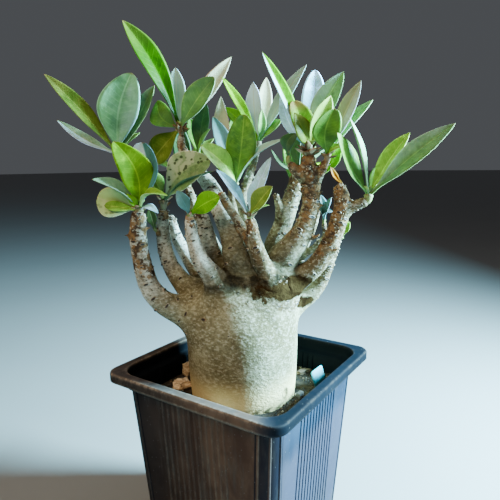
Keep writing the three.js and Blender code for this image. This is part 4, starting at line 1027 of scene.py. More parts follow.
# Points and faces of one leaf, with each point's place across and along it, and 1 on its back
def leafParts(base, spec, chance):
    along = np.array(spec["tip"], float) - base
    length = np.linalg.norm(along)
    along = along / length
    upper = np.array(spec["faces"], float)
    upper = unit(upper - along * np.dot(upper, along))
    across = np.cross(along, upper)
    turned = leafLooks[spec["look"]].get("turned", False)
    steps = int(np.clip(math.ceil(length / leafShape["station"]), leafShape["stationsLeast"],
                        leafShape["stationsMost"]))
    columns = leafShape["columns"]
    # u runs across the blade from -1 to 1, closer together near the midrib, where the fold is soft
    u = np.linspace(-1, 1, columns + 1)
    u = np.sign(u) * np.abs(u) ** leafShape["crowding"]
    soft = leafShape["softFold"]
    bend = (np.sqrt(u * u + soft * soft) - soft) / (math.sqrt(1 + soft * soft) - soft)
    points, uv = [], []
    for t in [*np.linspace(0, 1, steps + 1)[:-1], 1 - 0.35 / steps, 1]:
        arch = math.sin(t * math.pi)
        half = bladeHalf(t, spec["width"], spec["widest"], spec["sharp"])
        centre = base + along * length * t + upper * spec["bow"] * arch + across * spec["sway"] * arch
        lift = math.tan(math.radians(spec["fold"])) * half
        root = 1 - float(smoothStep(t, 0.02, 0.3))
        blade = leafShape["blade"] * (1 - root) + leafShape["petiole"] * root
        thick = blade + (leafShape["margin"] - blade) * np.abs(u) ** (3 - root) * (1 - 0.3 * root)
        thick *= 1 - 0.5 * float(smoothStep(t, 0.9, 1))
        # the midrib, fading towards the tip
        ridge = np.exp(-(u * half / leafShape["ridgeWide"]) ** 2) * float(smoothStep(half, 1.2, 4))
        fade = 1 - 0.75 * t
        groove, keel = leafShape["groove"] * ridge * fade, leafShape["keel"] * ridge * fade
        ripple = leafShape["wave"] * min(half / 6, 1) * u * u * (
            np.sin(t * length / 4.5 + 9 * chance + 1.3 * np.sign(u)) * 0.6
            + np.sin(t * length / 9.5 + 5 * chance)) * (1 - root)
        middle = centre + np.outer(u * half, across) + np.outer(bend * lift + ripple, upper)
        high, low = thick / 2 - groove, thick / 2 + keel
        if turned:
            high, low = low, high
        front = middle + np.outer(high, upper)
        rear = (middle - np.outer(low, upper))[::-1]
        points.append(np.vstack([front, rear]))
        shown = (u + 1) / 2
        uv.append(np.column_stack([np.concatenate([shown, shown[::-1]]), np.full(2 * columns + 2, t)]))
    under = np.tile(np.repeat([1, 0] if turned else [0, 1], columns + 1), len(points))
    return np.vstack(points), loftFaces(len(points), len(points[0])), np.vstack(uv), under


# The end face of a branch, where a shoot starts
def branchEnd(name):
    last, before = np.array(branches[name][-1], float), np.array(branches[name][-2], float)
    out = unit(last[:3] - before[:3])
    return last[:3] + out * last[3] * 0.35, out, last[3] * 0.72


# Stems that are corky rather than green
stemTints = {
    "shoot_main": (0.26, 0.135, 0.055), "shoot_main_side": (0.24, 0.13, 0.05),
    "shoot_upper_left": (0.3, 0.17, 0.08), "shoot_left": (0.2, 0.17, 0.08),
    "shoot_far_left": (0.22, 0.2, 0.08), "shoot_crown": (0.25, 0.2, 0.11),
    "withered_leaf": (0.24, 0.12, 0.045),
}
stemGreen = (0.2, 0.23, 0.06)

# How many dry bracts stand round a shoot's stem
bractCounts = {"shoot_upper_left": 26, "shoot_main": 16, "shoot_front": 8, "shoot_far_left": 5,
               "shoot_left": 5, "shoot_main_side": 6, "shoot_inner_left": 4}

budLooks = ["light", "fresh", "olive", "tanBack", "mid"]


# Small folded leaves and bracts round a bud
def budLeaves(bud, random):
    made = []
    centre, r = np.array(bud[:3], float), bud[3]
    count = 3 + int(r > 2) + int(r > 3)
    for i in range(count):
        turn = fullTurn * (i + random.uniform(0, 0.5)) / count
        out = np.array([math.cos(turn), math.sin(turn), random.uniform(0.9, 2.2)])
        tip = centre + unit(out) * (r * random.uniform(1.7, 2.7))
        look = budLooks[int(random.uniform(0, 4.99))]
        made.append(leaf(tip, r * random.uniform(0.9, 1.3), (-out[0], -out[1], 0.4), look, 30, 0.3))
    return made


# Papery dry bracts that stand out round the stem below a bud
def dryBracts(start, bud, count, random):
    made = []
    for i in range(count):
        turn = fullTurn * i * 0.382 + random.uniform(-0.4, 0.4)
        seat = np.array(start) + (np.array(bud[:3], float) - start) * random.uniform(0.1, 0.95)
        out = np.array([math.cos(turn), math.sin(turn), random.uniform(0.2, 1.1)])
        tip = seat + unit(out) * bud[3] * random.uniform(1.9, 3.2)
        one = leaf(tip, bud[3] * random.uniform(0.8, 1.3), (-out[0], -out[1], 0.9),
                   "dryBract" if random.uniform(0, 1) < 0.7 else "paleBract", 34, -0.5, widest=0.4)
        made.append(dict(one, seat=seat + unit(out) * bud[3] * 0.5))
    return made


# One piece for a shoot: its stem, its leaves, and small leaves and bracts round its bud
def makeShoot(node, spec, random):
    bud = spec["bud"]
    centre = np.array(bud[:3], float)
    point, out, radius = branchEnd(spec["on"])
    radius = min(radius, bud[3] * 0.9)
    start = point + out * (clearance * 0.5)
    free = point + out * (clearance + 1.2)
    stem, stemFaces = tube([[*start, radius], [*free, radius], *spec.get("via", []), bud], 0.9, 14)
    stemTint = np.tile(stemTints.get(node, stemGreen), (len(stem), 1))
    parts, tints, backs = [(stem, stemFaces)], [stemTint], [stemTint]
    traits, uvs = [np.full((len(stem), 4), 0.5)], [np.zeros((len(stem), 2))]
    unders = [np.zeros(len(stem))]
    listed = list(spec["leaves"])
    if node != "withered_leaf":
        listed += budLeaves(bud, random)
        listed += dryBracts(start, bud, bractCounts.get(node, 0), random)
    for one in listed:
        look = leafLooks[one["look"]]
        chance = random.uniform(0, 1)
        atBud = centre + unit(np.array(one["tip"], float) - centre) * bud[3] * leafShape["seat"]
        points, faces, uv, under = leafParts(one.get("seat", atBud), one, chance)
        parts.append((points, faces))
        uvs.append(uv)
        unders.append(under)
        vary = random.uniform(0.9, 1.12)
        tints.append(np.tile(np.array(look["top"]) * vary, (len(points), 1)))
        backs.append(np.tile(np.array(look["back"]) * vary, (len(points), 1)))
        shown = [look.get(trait, 0) for trait in ("bloom", "mottle", "dry")]
        traits.append(np.tile([*shown, look.get("half", 0) / 2 + 0.5], (len(points), 1)))
    points, faces = joinParts(parts)
    name = node.capitalize()
    mesh = meshFrom(name, toScene(points), faces)
    solid = np.ones((len(points), 1))
    setValues(mesh, "tint", np.hstack([np.vstack(tints), solid]), "FLOAT_COLOR")
    setValues(mesh, "backTint", np.hstack([np.vstack(backs), solid]), "FLOAT_COLOR")
    setValues(mesh, "traits", np.vstack(traits), "FLOAT_COLOR")
    setValues(mesh, "underside", np.concatenate(unders))
    layer = mesh.uv_layers.new(name="leafUv")
    corner = np.zeros(len(mesh.loops), np.int32)
    mesh.loops.foreach_get("vertex_index", corner)
    layer.data.foreach_set("uv", np.vstack(uvs)[corner].astype(np.float32).ravel())
    mesh.materials.append(leafSkin)
    mesh.materials.append(stemSkin)
    which = np.zeros(len(mesh.polygons), np.int32)
    which[:len(stemFaces)] = 1
    mesh.polygons.foreach_set("material_index", which)
    return makeObject(name, mesh)


leafColours = dict(
    deep=(0.006, 0.025, 0.001), backShade=(0.03, 0.06, 0.015), backVein=(0.42, 0.46, 0.28),
    backRib=(0.45, 0.46, 0.24), wax=(0.36, 0.56, 0.56), lit=(0.5, 0.72, 0.8), patch=(0.44, 0.46, 0.27),
    spot=(0.03, 0.045, 0.015), worn=(0.24, 0.12, 0.04), dryTip=(0.2, 0.1, 0.035))
# What the leaf's own green is multiplied by
leafFactors = dict(full=(1.3, 1.25, 1.2), vein=(2.4, 1.8, 2.6), shade=(0.45, 0.55, 0.45),
                   margin=(2.6, 2.0, 3.0))


def leafFinish():
    f, c = Finish("Leaf"), leafColours
    uv = f.split(addNode(f.tree, "ShaderNodeUVMap", uv_map="leafUv").outputs[0])
    across, along = uv[0], uv[1]
    traits = addNode(f.tree, "ShaderNodeSeparateColor", {0: f.stored("traits", "Color")})
    bloom, mottle, dry = traits.outputs[0], traits.outputs[1], traits.outputs[2]
    half = f.times(f.minus(f.stored("traits", "Alpha"), 0.5), 2.0)
    under = f.band(f.stored("underside"), 0.3, 0.7)
    signed = f.times(f.minus(across, 0.5), 2.0)
    side = f.math("ABSOLUTE", signed)
    blotch = f.noise(7, 3, 0.6)
    tint, backTint = f.stored("tint", "Color"), f.stored("backTint", "Color")
    full = f.tinted(tint, leafFactors["full"])
    top = f.mix(f.band(blotch, 0.35, 0.68), f.mix(0.3, tint, c["deep"]), full)
    # side veins run forward from the midrib to the margin
    count = f.minus(f.times(along, 15.0), f.times(side, 1.7))
    wave = f.math("SINE", f.times(count, fullTurn))
    veins = f.times(f.band(wave, 0.72, 1.0), f.band(side, 0.95, 0.5))
    paler = f.tinted(top, leafFactors["vein"])
    top = f.mix(f.times(veins, 0.2), top, paler)
    top = f.mix(f.times(f.band(side, 0.07, 0.02), 0.75), top, paler)
    top = f.mix(f.patches(0.54, 0.66, 2.6, 4, 0.7, shift=17.0, most=0.4), top, paler)
    clouds = f.patches(0.5, 0.64, 4.5, 4, 0.65, shift=19.0, most=0.6)
    top = f.mix(clouds, top, f.tinted(top, leafFactors["shade"]))
    back = f.mix(f.band(blotch, 0.35, 0.7), backTint, f.mix(0.3, backTint, c["backShade"]))
    back = f.mix(f.times(veins, 0.08), back, c["backVein"])
    back = f.mix(f.times(f.band(side, 0.09, 0.03), 0.5), back, c["backRib"])
    shade = f.mix(under, top, back)
    waxy = f.times(bloom, f.patches(0.3, 0.65, 9, 3, 0.6, shift=3.0, least=0.25))
    shade = f.mix(f.times(waxy, 0.5), shade, c["wax"])
    # a painted highlight on one half, pale blue, with ragged gaps
    facing = f.times(signed, half)
    ragged = f.patches(0.3, 0.62, 5, 4, 0.65, shift=11.0, least=1, most=0.45)
    pale = f.times(f.times(f.band(facing, 0.0, 0.1), f.math("ABSOLUTE", half)), ragged)
    shade = f.mix(pale, shade, c["lit"])
    # pale patches and dark spots, most of them on one half
    patch = f.patches(0.42, 0.56, 6, 4, 0.65, shift=8.0)
    patch = f.times(f.band(patch, 0, 1, 0.35, 1), f.band(signed, 0.12, -0.12, 0.25, 0.9))
    shade = f.mix(f.times(mottle, patch), shade, c["patch"])
    spots = f.plus(f.cells(3.6, (1, 1, 1.3)), f.times(f.noise(3, 4, 0.7), 0.8))
    spots = f.times(f.band(spots, 0.83, 0.62), f.band(signed, 0.25, 0.0, 0.25, 1))
    shade = f.mix(f.times(mottle, f.times(spots, 0.9)), shade, c["spot"])
    margin = f.times(f.band(side, 0.94, 0.985), f.band(along, 0.06, 0.2))
    shade = f.mix(f.times(margin, 0.6), shade, f.tinted(shade, leafFactors["margin"]))
    # dry brown edges and tip
    edge = f.plus(f.math("MAXIMUM", side, along), f.times(blotch, 0.5))
    worn = f.times(dry, f.band(edge, 1.12, 1.3))
    shade = f.mix(f.times(worn, 0.75), shade, c["worn"])
    tip = f.math("MAXIMUM", f.times(f.band(along, 0.965, 0.995), 0.6),
                 f.times(dry, f.band(along, 0.66, 0.9, 0, 0.85)))
    shade = f.mix(tip, shade, c["dryTip"])
    rough = f.plus(f.band(under, 0, 1, 0.36, 0.52), f.times(waxy, 0.12))
    bump = f.bump(f.plus(f.times(veins, 0.5), f.noise(2.4, 2)), 0.12, 0.45)
    return f.set(Base_Color=shade, Roughness=rough, Normal=bump, Specular_IOR_Level=0.04,
                 Coat_Weight=0.015, Coat_Roughness=0.25)


def stemFinish():
    f = Finish("Green stem")
    tint = f.stored("tint", "Color")
    shaded = f.mix(0.5, tint, (0.09, 0.06, 0.03))
    shade = f.mix(f.patches(0.4, 0.62, 3, 3, most=0.6), tint, shaded)
    shade = f.mix(f.patches(0.56, 0.64, 1.2, 2, shift=2.0, most=0.6), shade, (0.07, 0.045, 0.025))
    return f.set(Base_Color=shade, Roughness=0.6, Normal=f.bump(f.noise(1.2, 3), 0.3, 0.6))


leafSkin = leafFinish()
stemSkin = stemFinish()
leafChance = np.random.default_rng(11)
leafFaces = 0
for node, spec in shoots.items():
    shoot = makeShoot(node, spec, leafChance)
    finishPiece(shoot, node)
    leafFaces += len(shoot.data.polygons)
print("leaves", leafFaces, "faces")


# Pot

potShape = dict(height=130, rimAcross=130, rimCorner=9.5, flange=6.5, lipDrop=6, lipThick=1.3, band=9.5,
                bandCorner=14, wall=1.2, wallCorner=12, baseAcross=96, taper=0.069, base=1.8,
                rimRound=0.9)
ribShape = dict(count=12, pitch=4.2, width=1.5, proud=0.6, root=0.4, bottom=5, top=118)
fluteShape = dict(width=3.3, proud=0.75, root=0.3, bottom=84, top=119.5)
drainHoles = dict(count=8, radius=4.4, middle=31.0, corner=38.75)
cornerTurns = (12, 45, 78)  # degrees round each corner


def wallHalf(z):
    return potShape["baseAcross"] / 2 + potShape["taper"] * z


def potBody():
    p = potShape
    rim, lip, under = p["rimAcross"] / 2, p["height"] - p["lipDrop"], p["height"] - p["lipThick"]
    opening, ledge, top = rim - p["flange"], p["height"] - p["band"], p["height"]
    wall, corner, band = p["wall"], p["wallCorner"], p["bandCorner"]
    rings, worn, inside = [], [], []

    def add(half, ringCorner, z, wear=0.0, inner=0.0):
        rings.append(squareRing(half, ringCorner, z, 9, 22))
        worn.append(wear)
        inside.append(inner)

    # outside, from the foot up to the ledge and the band above it
    add(p["baseAcross"] / 2 - 2.4, corner - 2.4, 0)
    add(p["baseAcross"] / 2 - 1.2, corner - 1.2, 0, 0.3)
    add(wallHalf(0.5) - 0.35, corner - 0.35, 0.35, 0.5)
    add(wallHalf(1.2), corner, 1.2, 0.3)
    for z in (3, 10, 24, 40, 56, 72, 88, 104, ledge - wall - 1):
        add(wallHalf(z), corner, z)
    add(wallHalf(ledge - wall), corner, ledge - wall, 0.2)
    add(opening + wall - 0.5, band - 0.4, ledge - wall + 0.15, 0.3)
    add(opening + wall, band, ledge - wall + 0.7, 0.3)
    add(opening + wall, band, under - 0.5)
    # under the flange, down the inside of the lip and up its outside
    add(rim - p["lipThick"] - 0.5, p["rimCorner"] - 1.6, under)
    add(rim - p["lipThick"], p["rimCorner"] - p["lipThick"], under - 0.5)
    add(rim - p["lipThick"], p["rimCorner"] - p["lipThick"], lip + 0.25, 0.4)
    add(rim - p["lipThick"] + 0.25, p["rimCorner"] - 1, lip, 0.7)
    add(rim - 0.25, p["rimCorner"] - 0.2, lip, 0.9)
    add(rim, p["rimCorner"], lip + 0.25, 0.7)
    add(rim, p["rimCorner"], lip + 1.5, 0.1)
    add(rim, p["rimCorner"], top - 2.2, 0.15)
    # over the rounded rim and across the flange
    for a in (0, 22, 45, 68, 90):
        turn = math.radians(a)
        drop = p["rimRound"] * 1.4
        add(rim - drop + drop * math.cos(turn), p["rimCorner"] - drop * (1 - math.cos(turn)),
            top - drop + drop * math.sin(turn), 0.35 + 0.65 * math.sin(2 * turn))
    add(rim - 2.4, p["rimCorner"] - 1.5, top - 0.04, 0.1)
    add(opening + 1.8, band, top - 0.04, 0.1)
    for a in (90, 68, 45, 22, 0):
        turn = math.radians(a)
        drop = p["rimRound"]
        add(opening + drop - drop * math.cos(turn), band, top - drop + drop * math.sin(turn),
            0.3 + 0.5 * math.sin(2 * turn))
    # down the inside
    add(opening, band, top - 3, 0, 1)
    add(opening, band, ledge + wall + 0.8, 0, 1)
    add(opening - 0.3, band, ledge + wall + 0.1, 0.15, 1)
    add(wallHalf(ledge) - wall + 0.4, corner, ledge + 0.1, 0.2, 1)
    add(wallHalf(ledge) - wall, corner, ledge - 0.4, 0.15, 1)
    for z in (112, 96, 60, 20):
        add(wallHalf(z) - wall, corner, z, 0, 1)
    add(wallHalf(p["base"]) - wall, corner, p["base"], 0, 1)
    mesh = meshFrom("Pot", np.vstack(rings) / perMetre, loftFaces(len(rings), len(rings[0])))
    setValues(mesh, "worn", np.repeat(worn, len(rings[0])))
    setValues(mesh, "inside", np.repeat(inside, len(rings[0])))
    return mesh


# A straight ridge on the middle of the +X wall, outwards or inwards, with a round crest and soft
# ends. cornerTurn moves it round the wall's corner by so many degrees
def ridgeParts(shape, inwards, cornerTurn):
    steps, root, rings = 6, shape["root"], []
    width, bottom, top = shape["width"], shape["bottom"], shape["top"]
    heights = [bottom, bottom + 0.3, bottom + 1.2, *np.linspace(bottom + 6, top - 6, 5), top - 1.2,
               top - 0.3, top]
    for z in heights:
        scale = 0.35 + 0.65 * float(smoothStep(min(z - bottom, top - z), 0, 1.3))
        ring = []
        for i in range(steps + 1):
            a = math.pi * i / steps
            out = shape["proud"] * scale * math.sin(a) ** 0.8
            ring.append((out, -width / 2 * math.cos(a)))
        ring += [(-root, width / 2), (-root, -width / 2)]
        face = wallHalf(z) - (potShape["wall"] if inwards else 0)
        placed = []
        for out, y in ring:
            x = face - out if inwards else face + out
            if cornerTurn is not None:
                middle = wallHalf(z) - potShape["wallCorner"]
                c, s = math.cos(math.radians(cornerTurn)), math.sin(math.radians(cornerTurn))
                x, y = middle + (x - middle) * c - y * s, middle + (x - middle) * s + y * c
            placed.append((x, y, z))
        rings.append(placed[::-1] if inwards else placed)
    return np.vstack(rings) / perMetre, loftFaces(len(rings), len(rings[0]))


# A rib outside with its flute inside, and for each point whether it is inside
def ribParts(cornerTurn):
    outer = ridgeParts(ribShape, False, cornerTurn)
    inner = ridgeParts(fluteShape, True, cornerTurn)
    points, faces = joinParts([outer, inner])
    return points, faces, np.arange(len(points)) >= len(outer[0])


def ribObject(name, turns, wornOutside, wornInside):
    made = [ribParts(turn) for turn in turns]
    inside = np.concatenate([one[2] for one in made])
    mesh = meshFrom(name, *joinParts([one[:2] for one in made]))
    setValues(mesh, "worn", np.where(inside, wornInside, wornOutside))
    setValues(mesh, "inside", inside)
    return makeObject(name, mesh)


def ribTree():
    tree, start, end = newTree("Pot ribs", {
        "Ribs per wall": "Int", "Pitch": "Float", "Rib": "Object", "Corner ribs": "Object",
        "Plastic": "Material"})
    pitch, count = start.outputs["Pitch"], start.outputs["Ribs per wall"]
    first = calc(tree, "MULTIPLY", calc(tree, "SUBTRACT", count, 1.0), -0.5)
    begin = addNode(tree, "ShaderNodeCombineXYZ", {"Y": calc(tree, "MULTIPLY", first, pitch)})
    stride = addNode(tree, "ShaderNodeCombineXYZ", {"Y": pitch})
    row = addNode(tree, "GeometryNodeMeshLine", {
        "Count": count, "Start Location": begin.outputs[0], "Offset": stride.outputs[0]})
    wall = putCopies(tree, row.outputs[0], start.outputs["Rib"])
    corner = addNode(tree, "GeometryNodeObjectInfo", {"Object": start.outputs["Corner ribs"]})
    quarter = joined(tree, wall, corner.outputs["Geometry"])
    asOne = addNode(tree, "GeometryNodeGeometryToInstance", {0: quarter})
    sides = addNode(tree, "GeometryNodeMeshLine", {"Count": 4, "Offset": (0.0, 0.0, 0.0)})
    index = addNode(tree, "GeometryNodeInputIndex")
    turn = calc(tree, "MULTIPLY", index.outputs[0], math.pi / 2)
    spin = addNode(tree, "ShaderNodeCombineXYZ", {"Z": turn})
    around = addNode(tree, "GeometryNodeInstanceOnPoints", {
        "Points": sides.outputs[0], "Instance": asOne.outputs[0], "Rotation": spin.outputs[0]})
    return endTree(tree, end, joined(tree, around.outputs[0], start.outputs[0]), start.outputs["Plastic"])


def cutDrainHoles(host):
    parts = []
    turn = circle(24)
    for i, angle in enumerate(circle(drainHoles["count"])):
        reach = drainHoles["corner"] if i % 2 else drainHoles["middle"]
        x = reach * math.cos(angle) + drainHoles["radius"] * np.cos(turn)
        y = reach * math.sin(angle) + drainHoles["radius"] * np.sin(turn)
        rings = [np.column_stack([x, y, turn * 0 + z]) for z in (-3, 5)]
        parts.append((np.vstack(rings) / perMetre, loftFaces(2, len(turn))))
    cutter = makeObject("Hole cutter", meshFrom("Hole cutter", *joinParts(parts)))
    cut = host.modifiers.new("Holes", "BOOLEAN")
    cut.operation, cut.object, cut.solver = "DIFFERENCE", cutter, "EXACT"
    host.data = appliedMesh(host)
    bpy.data.objects.remove(cutter)


potColours = dict(
    plastic=(0.012, 0.01, 0.01), plasticLit=(0.022, 0.018, 0.018), filmAndWarmReflection=(0.055, 0.026, 0.017),
    filmAndWarmReflectionLit=(0.115, 0.06, 0.038), cool=(0.012, 0.017, 0.029), coolLit=(0.022, 0.034, 0.056),
    veil=(0.05, 0.043, 0.062), hollow=(0.003, 0.0045, 0.009), streak=(0.06, 0.05, 0.043),
    rimPaintedShade=(0.001, 0.0018, 0.003), lipDust=(0.06, 0.05, 0.05), lipPaintedShade=(0.004, 0.007, 0.011),
    scuffAndHighlight=(0.3, 0.215, 0.16), speck=(0.12, 0.11, 0.105), inside=(0.0025, 0.004, 0.006),
    splashAndWarmReflection=(0.075, 0.055, 0.04))
# Heights, in metres, where a mark on the pot begins and where it is in full
potHeights = dict(veil=(0.12, 0.105), rimPaintedShade=(0.1225, 0.1245), onLip=(0.1275, 0.13), splashAndWarmReflection=(0.06, 0.0))


# The side facing the key light is stored as 1, for its painted cool tint and its rim darkened with
# painted shade; elsewhere lies a brown film that is partly a painted warm reflection
def potFinish():
    f, c, heights = Finish("Pot plastic"), potColours, potHeights
    z, paintedKeySide = f.height(), f.stored("paintedKeySide")
    cloud = f.patches(0.35, 0.68, 26, 3, 0.55)
    shade = f.mix(cloud, c["plastic"], c["plasticLit"])
    # a brown film, partly a painted warm reflection
    brown = f.mix(f.patches(0.35, 0.65, 9, 4, 0.6, (1, 1, 0.5), 5.0), c["filmAndWarmReflection"], c["filmAndWarmReflectionLit"])
    shade = f.mix(f.times(f.stored("filmAndWarmReflection"), 0.85), shade, brown)
    # the side facing the key light is tinted cool blue: painted light
    shade = f.mix(paintedKeySide, shade, f.mix(cloud, c["cool"], c["coolLit"]))
    # dust on the lower part of the wall that faces the light, with a ragged upper edge
    level = f.plus(z, f.times(f.noise(12, 4, 0.7, (1, 1, 0.4), 21.0), 0.03))
    shade = f.mix(f.times(f.band(level, *heights["veil"], 0, 0.7), paintedKeySide), shade, c["veil"])
    # the fluted corners are painted dark between their ridges: painted shade. turn is 0 in the middle
    # of a corner and 1 at its ends
    turn = f.stored("cornerTurn")
    ridge = f.math("MAXIMUM", f.band(turn, 0.13, 0.06),
                   f.band(f.math("ABSOLUTE", f.minus(turn, 0.73)), 0.12, 0.06))
    hollow = f.times(f.band(turn, 0.98, 0.9), f.minus(1.0, ridge))
    shade = f.mix(f.times(hollow, 0.8), shade, c["hollow"])
    streak = f.patches(0.5, 0.68, 3, 4, 0.65, (1, 1, 0.12), 6.0, most=0.4)
    shade = f.mix(f.times(streak, f.band(paintedKeySide, 0, 1, 1, 0.3)), shade, c["streak"])
    # on the key side the lip and flange are darkened, and their top is dark blue instead of dusty:
    # painted shade
    shade = f.mix(f.times(paintedKeySide, f.band(z, *heights["rimPaintedShade"], 0, 0.85)), shade, c["rimPaintedShade"])
    onLip = f.times(f.band(z, *heights["onLip"]), f.patches(0.35, 0.65, 7, 4, 0.7, least=0.3))
    shade = f.mix(f.times(onLip, 0.6), shade, f.mix(paintedKeySide, c["lipDust"], c["lipPaintedShade"]))
    # pale scuffs on the worn edges, fewer on the key side: wear and a painted highlight along the rim
    scuffAndHighlight = f.patches(0.48, 0.6, 3, 4, 0.75, (1, 1, 0.7))
    edge = f.times(f.stored("worn"), f.band(scuffAndHighlight, 0, 1, 0.4, 1))
    shade = f.mix(f.times(edge, f.band(paintedKeySide, 0, 1, 0.85, 0.08)), shade, c["scuffAndHighlight"])
    shade = f.mix(f.band(f.cells(3.4), 0.14, 0.06, 0, 0.4), shade, c["speck"])
    # the inside of the pot is darker: painted shade
    shade = f.mix(f.times(f.stored("inside"), 0.97), shade, c["inside"])
    # warm brown towards the bottom: soil splash and a painted warm reflection
    splashAndWarmReflection = f.patches(0.42, 0.62, 12, 4, 0.7, shift=4.0, most=0.5)
    shade = f.mix(f.times(f.band(z, *heights["splashAndWarmReflection"]), splashAndWarmReflection), shade, c["splashAndWarmReflection"])
    rough = f.patches(0.3, 0.7, 6, 4, 0.65, shift=2.0, least=0.42, most=0.6)
    rough = f.plus(rough, f.times(edge, 0.2))
    bump = f.bump(f.noise(1.1, 2, 0.6), 0.05, 0.35)
    bump = f.bump(f.noise(30, 2), 0.8, 0.3, bump)
    return f.set(Base_Color=shade, Roughness=rough, Normal=bump, Specular_IOR_Level=0.015)


# Which side faces the key light, for painted light and shade, where the brown film with its painted
# warm reflection lies, and how far each point of a corner is from its middle
def markPot(mesh):
    points = toPlant(getPoints(mesh))
    x, z = points[:, 0], points[:, 2]
    below = z < potShape["height"] - potShape["band"] - 0.2
    setValues(mesh, "paintedKeySide", smoothStep(x + 8 * ~below, 8, 26))
    beyond = np.abs(getPoints(mesh)[:, :2]) * perMetre
    beyond = beyond - (wallHalf(z) - potShape["wallCorner"])[:, None]
    turn = np.abs(np.degrees(np.arctan2(beyond[:, 1], beyond[:, 0])) - 45) / 45
    setValues(mesh, "cornerTurn", np.where((beyond.min(axis=1) > 0) & below, turn, 1))
    setValues(mesh, "filmAndWarmReflection", smoothStep(x, -75, -5))


pot = makeObject("Pot", potBody())
cutDrainHoles(pot)
wallRib = ribObject("Wall rib", [None], 0.12, 0)
cornerRibs = ribObject("Corner ribs", cornerTurns, 0.1, 0.1)
pot.data = runTree(pot, ribTree(), {
    "Ribs per wall": ribShape["count"], "Pitch": ribShape["pitch"] / perMetre, "Rib": wallRib,
    "Corner ribs": cornerRibs, "Plastic": potFinish()})
markPot(pot.data)
bpy.data.objects.remove(wallRib)
bpy.data.objects.remove(cornerRibs)
finishPiece(pot, "pot")
print("pot", len(pot.data.polygons), "faces")


# Soil and what lies on it

soilLook = dict(rings=30, corner=12, gritBeyond=32, chipSink=0.1, spacing=1.5, small=0.7, large=2.5,
                seed=5)
# Chips and stones on the soil; some are darkened where they lie in shadow: painted shade
chips = {
    "bark_chip_1": dict(at=(-43.5, 4), size=(11, 8, 6), turn=35),
    "bark_chip_2": dict(at=(-42, 24), size=(5.5, 3.5, 11), turn=-40, paintedShade=0.3),
    "bark_chip_3": dict(at=(43, 26), size=(10, 4, 2.5), turn=40, paintedShade=0.9),
    "bark_chip_4": dict(at=(6, 46), size=(14, 7, 4), turn=10),
    "bark_chip_5": dict(at=(-18, -44), size=(12, 6, 3), turn=150),
    "stone_1": dict(at=(36.5, -13.5), size=(5, 4.5, 5), turn=20, paintedShade=1.0),
    "stone_2": dict(at=(-24, 40), size=(7, 6, 4), turn=80),
    "stone_3": dict(at=(26, 40), size=(6, 5, 4), turn=0),
}


def soilBody():
    look, rings, grit = soilLook, [], []

    def addRing(z, scale, chance):
        half = wallHalf(z) - potShape["wall"] - clearance
        rings.append(squareRing(half * scale, look["corner"] * scale, z, 6, 20))
        grit.append(chance)

    for z in (potShape["base"] + clearance, 60, soilLevel - 1):
        addRing(z, 1, 0)
    for i in range(look["rings"]):
        scale = 1 - i / look["rings"]
        addRing(soilLevel, scale, 1.0 if scale * 52 > look["gritBeyond"] else 0.0)
        x, y = rings[-1][:, 0], rings[-1][:, 1]
        rise = 0.9 * (np.sin(x * 0.21 + 1) * np.cos(y * 0.17) + 0.5 * np.sin(x * 0.43 - y * 0.31))
        rise += 0.5 * np.sin(x * 0.9 + 2 * np.sin(y * 0.5)) * np.cos(y * 0.8 + x * 0.2)
        rings[-1][:, 2] += rise * min(i / 2, 1) * 0.8
    mesh = meshFrom("Soil", np.vstack(rings) / perMetre, loftFaces(len(rings), len(rings[0])))
    setValues(mesh, "gritChance", np.repeat(grit, len(rings[0])))
    return mesh


# An uneven lump, about one millimetre across
def lumpMesh(name, seed, flat):
    shape = bmesh.new()
    bmesh.ops.create_icosphere(shape, subdivisions=1, radius=0.5)
    random = np.random.default_rng(seed)
    for v in shape.verts:
        v.co *= random.uniform(0.72, 1.12)
        v.co.z *= flat
    mesh = meshOf(shape, name)
    mesh.transform(Matrix.Scale(1 / perMetre, 4))
    return mesh


def gritTree():
    tree, start, end = newTree("Soil grit", {
        "Spacing": "Float", "Smallest": "Float", "Largest": "Float", "Seed": "Int", "Lump": "Object",
        "Crumb": "Material"})
    scatter = spreadPoints(tree, start, "gritChance", 900000.0)
    turn = addNode(tree, "FunctionNodeRandomValue", {0: (0, 0, 0), 1: (6.28, 6.28, 6.28), "Seed": 2},
                   data_type="FLOAT_VECTOR")
    size = drawSize(tree, 4, 2.2, start.outputs["Smallest"], start.outputs["Largest"])
    copies = putCopies(tree, scatter.outputs["Points"], start.outputs["Lump"], turn.outputs[0], size)
    toned = addNode(tree, "GeometryNodeStoreNamedAttribute", {
        "Geometry": copies, "Name": "crumbTone", "Value": drawShare(tree, 9)},
        data_type="FLOAT", domain="INSTANCE")
    return endTree(tree, end, toned.outputs[0], start.outputs["Crumb"])


def soilFinish():
    f = Finish("Soil")
    shade = f.mix(f.patches(0.35, 0.65, 3, 4, 0.7), (0.011, 0.008, 0.006), (0.038, 0.026, 0.017))
    bump = f.bump(f.noise(1.2, 4, 0.7), 0.8, 1.0)
    return f.set(Base_Color=shade, Roughness=0.95, Normal=bump, Specular_IOR_Level=0.2)


# Most crumbs are dark, some are bark and a few are pale
def crumbFinish():
    f = Finish("Soil crumbs")
    tone = f.stored("crumbTone")
    dark = f.mix(f.patches(0.4, 0.6, 2, 3), (0.009, 0.007, 0.005), (0.03, 0.021, 0.014))
    shade = f.mix(f.band(tone, 0.8, 0.86), dark, (0.17, 0.1, 0.05))
    shade = f.mix(f.band(tone, 0.95, 0.97), shade, (0.36, 0.32, 0.27))
    return f.set(Base_Color=shade, Roughness=0.9, Normal=f.bump(f.noise(0.6, 2), 0.15, 0.7))


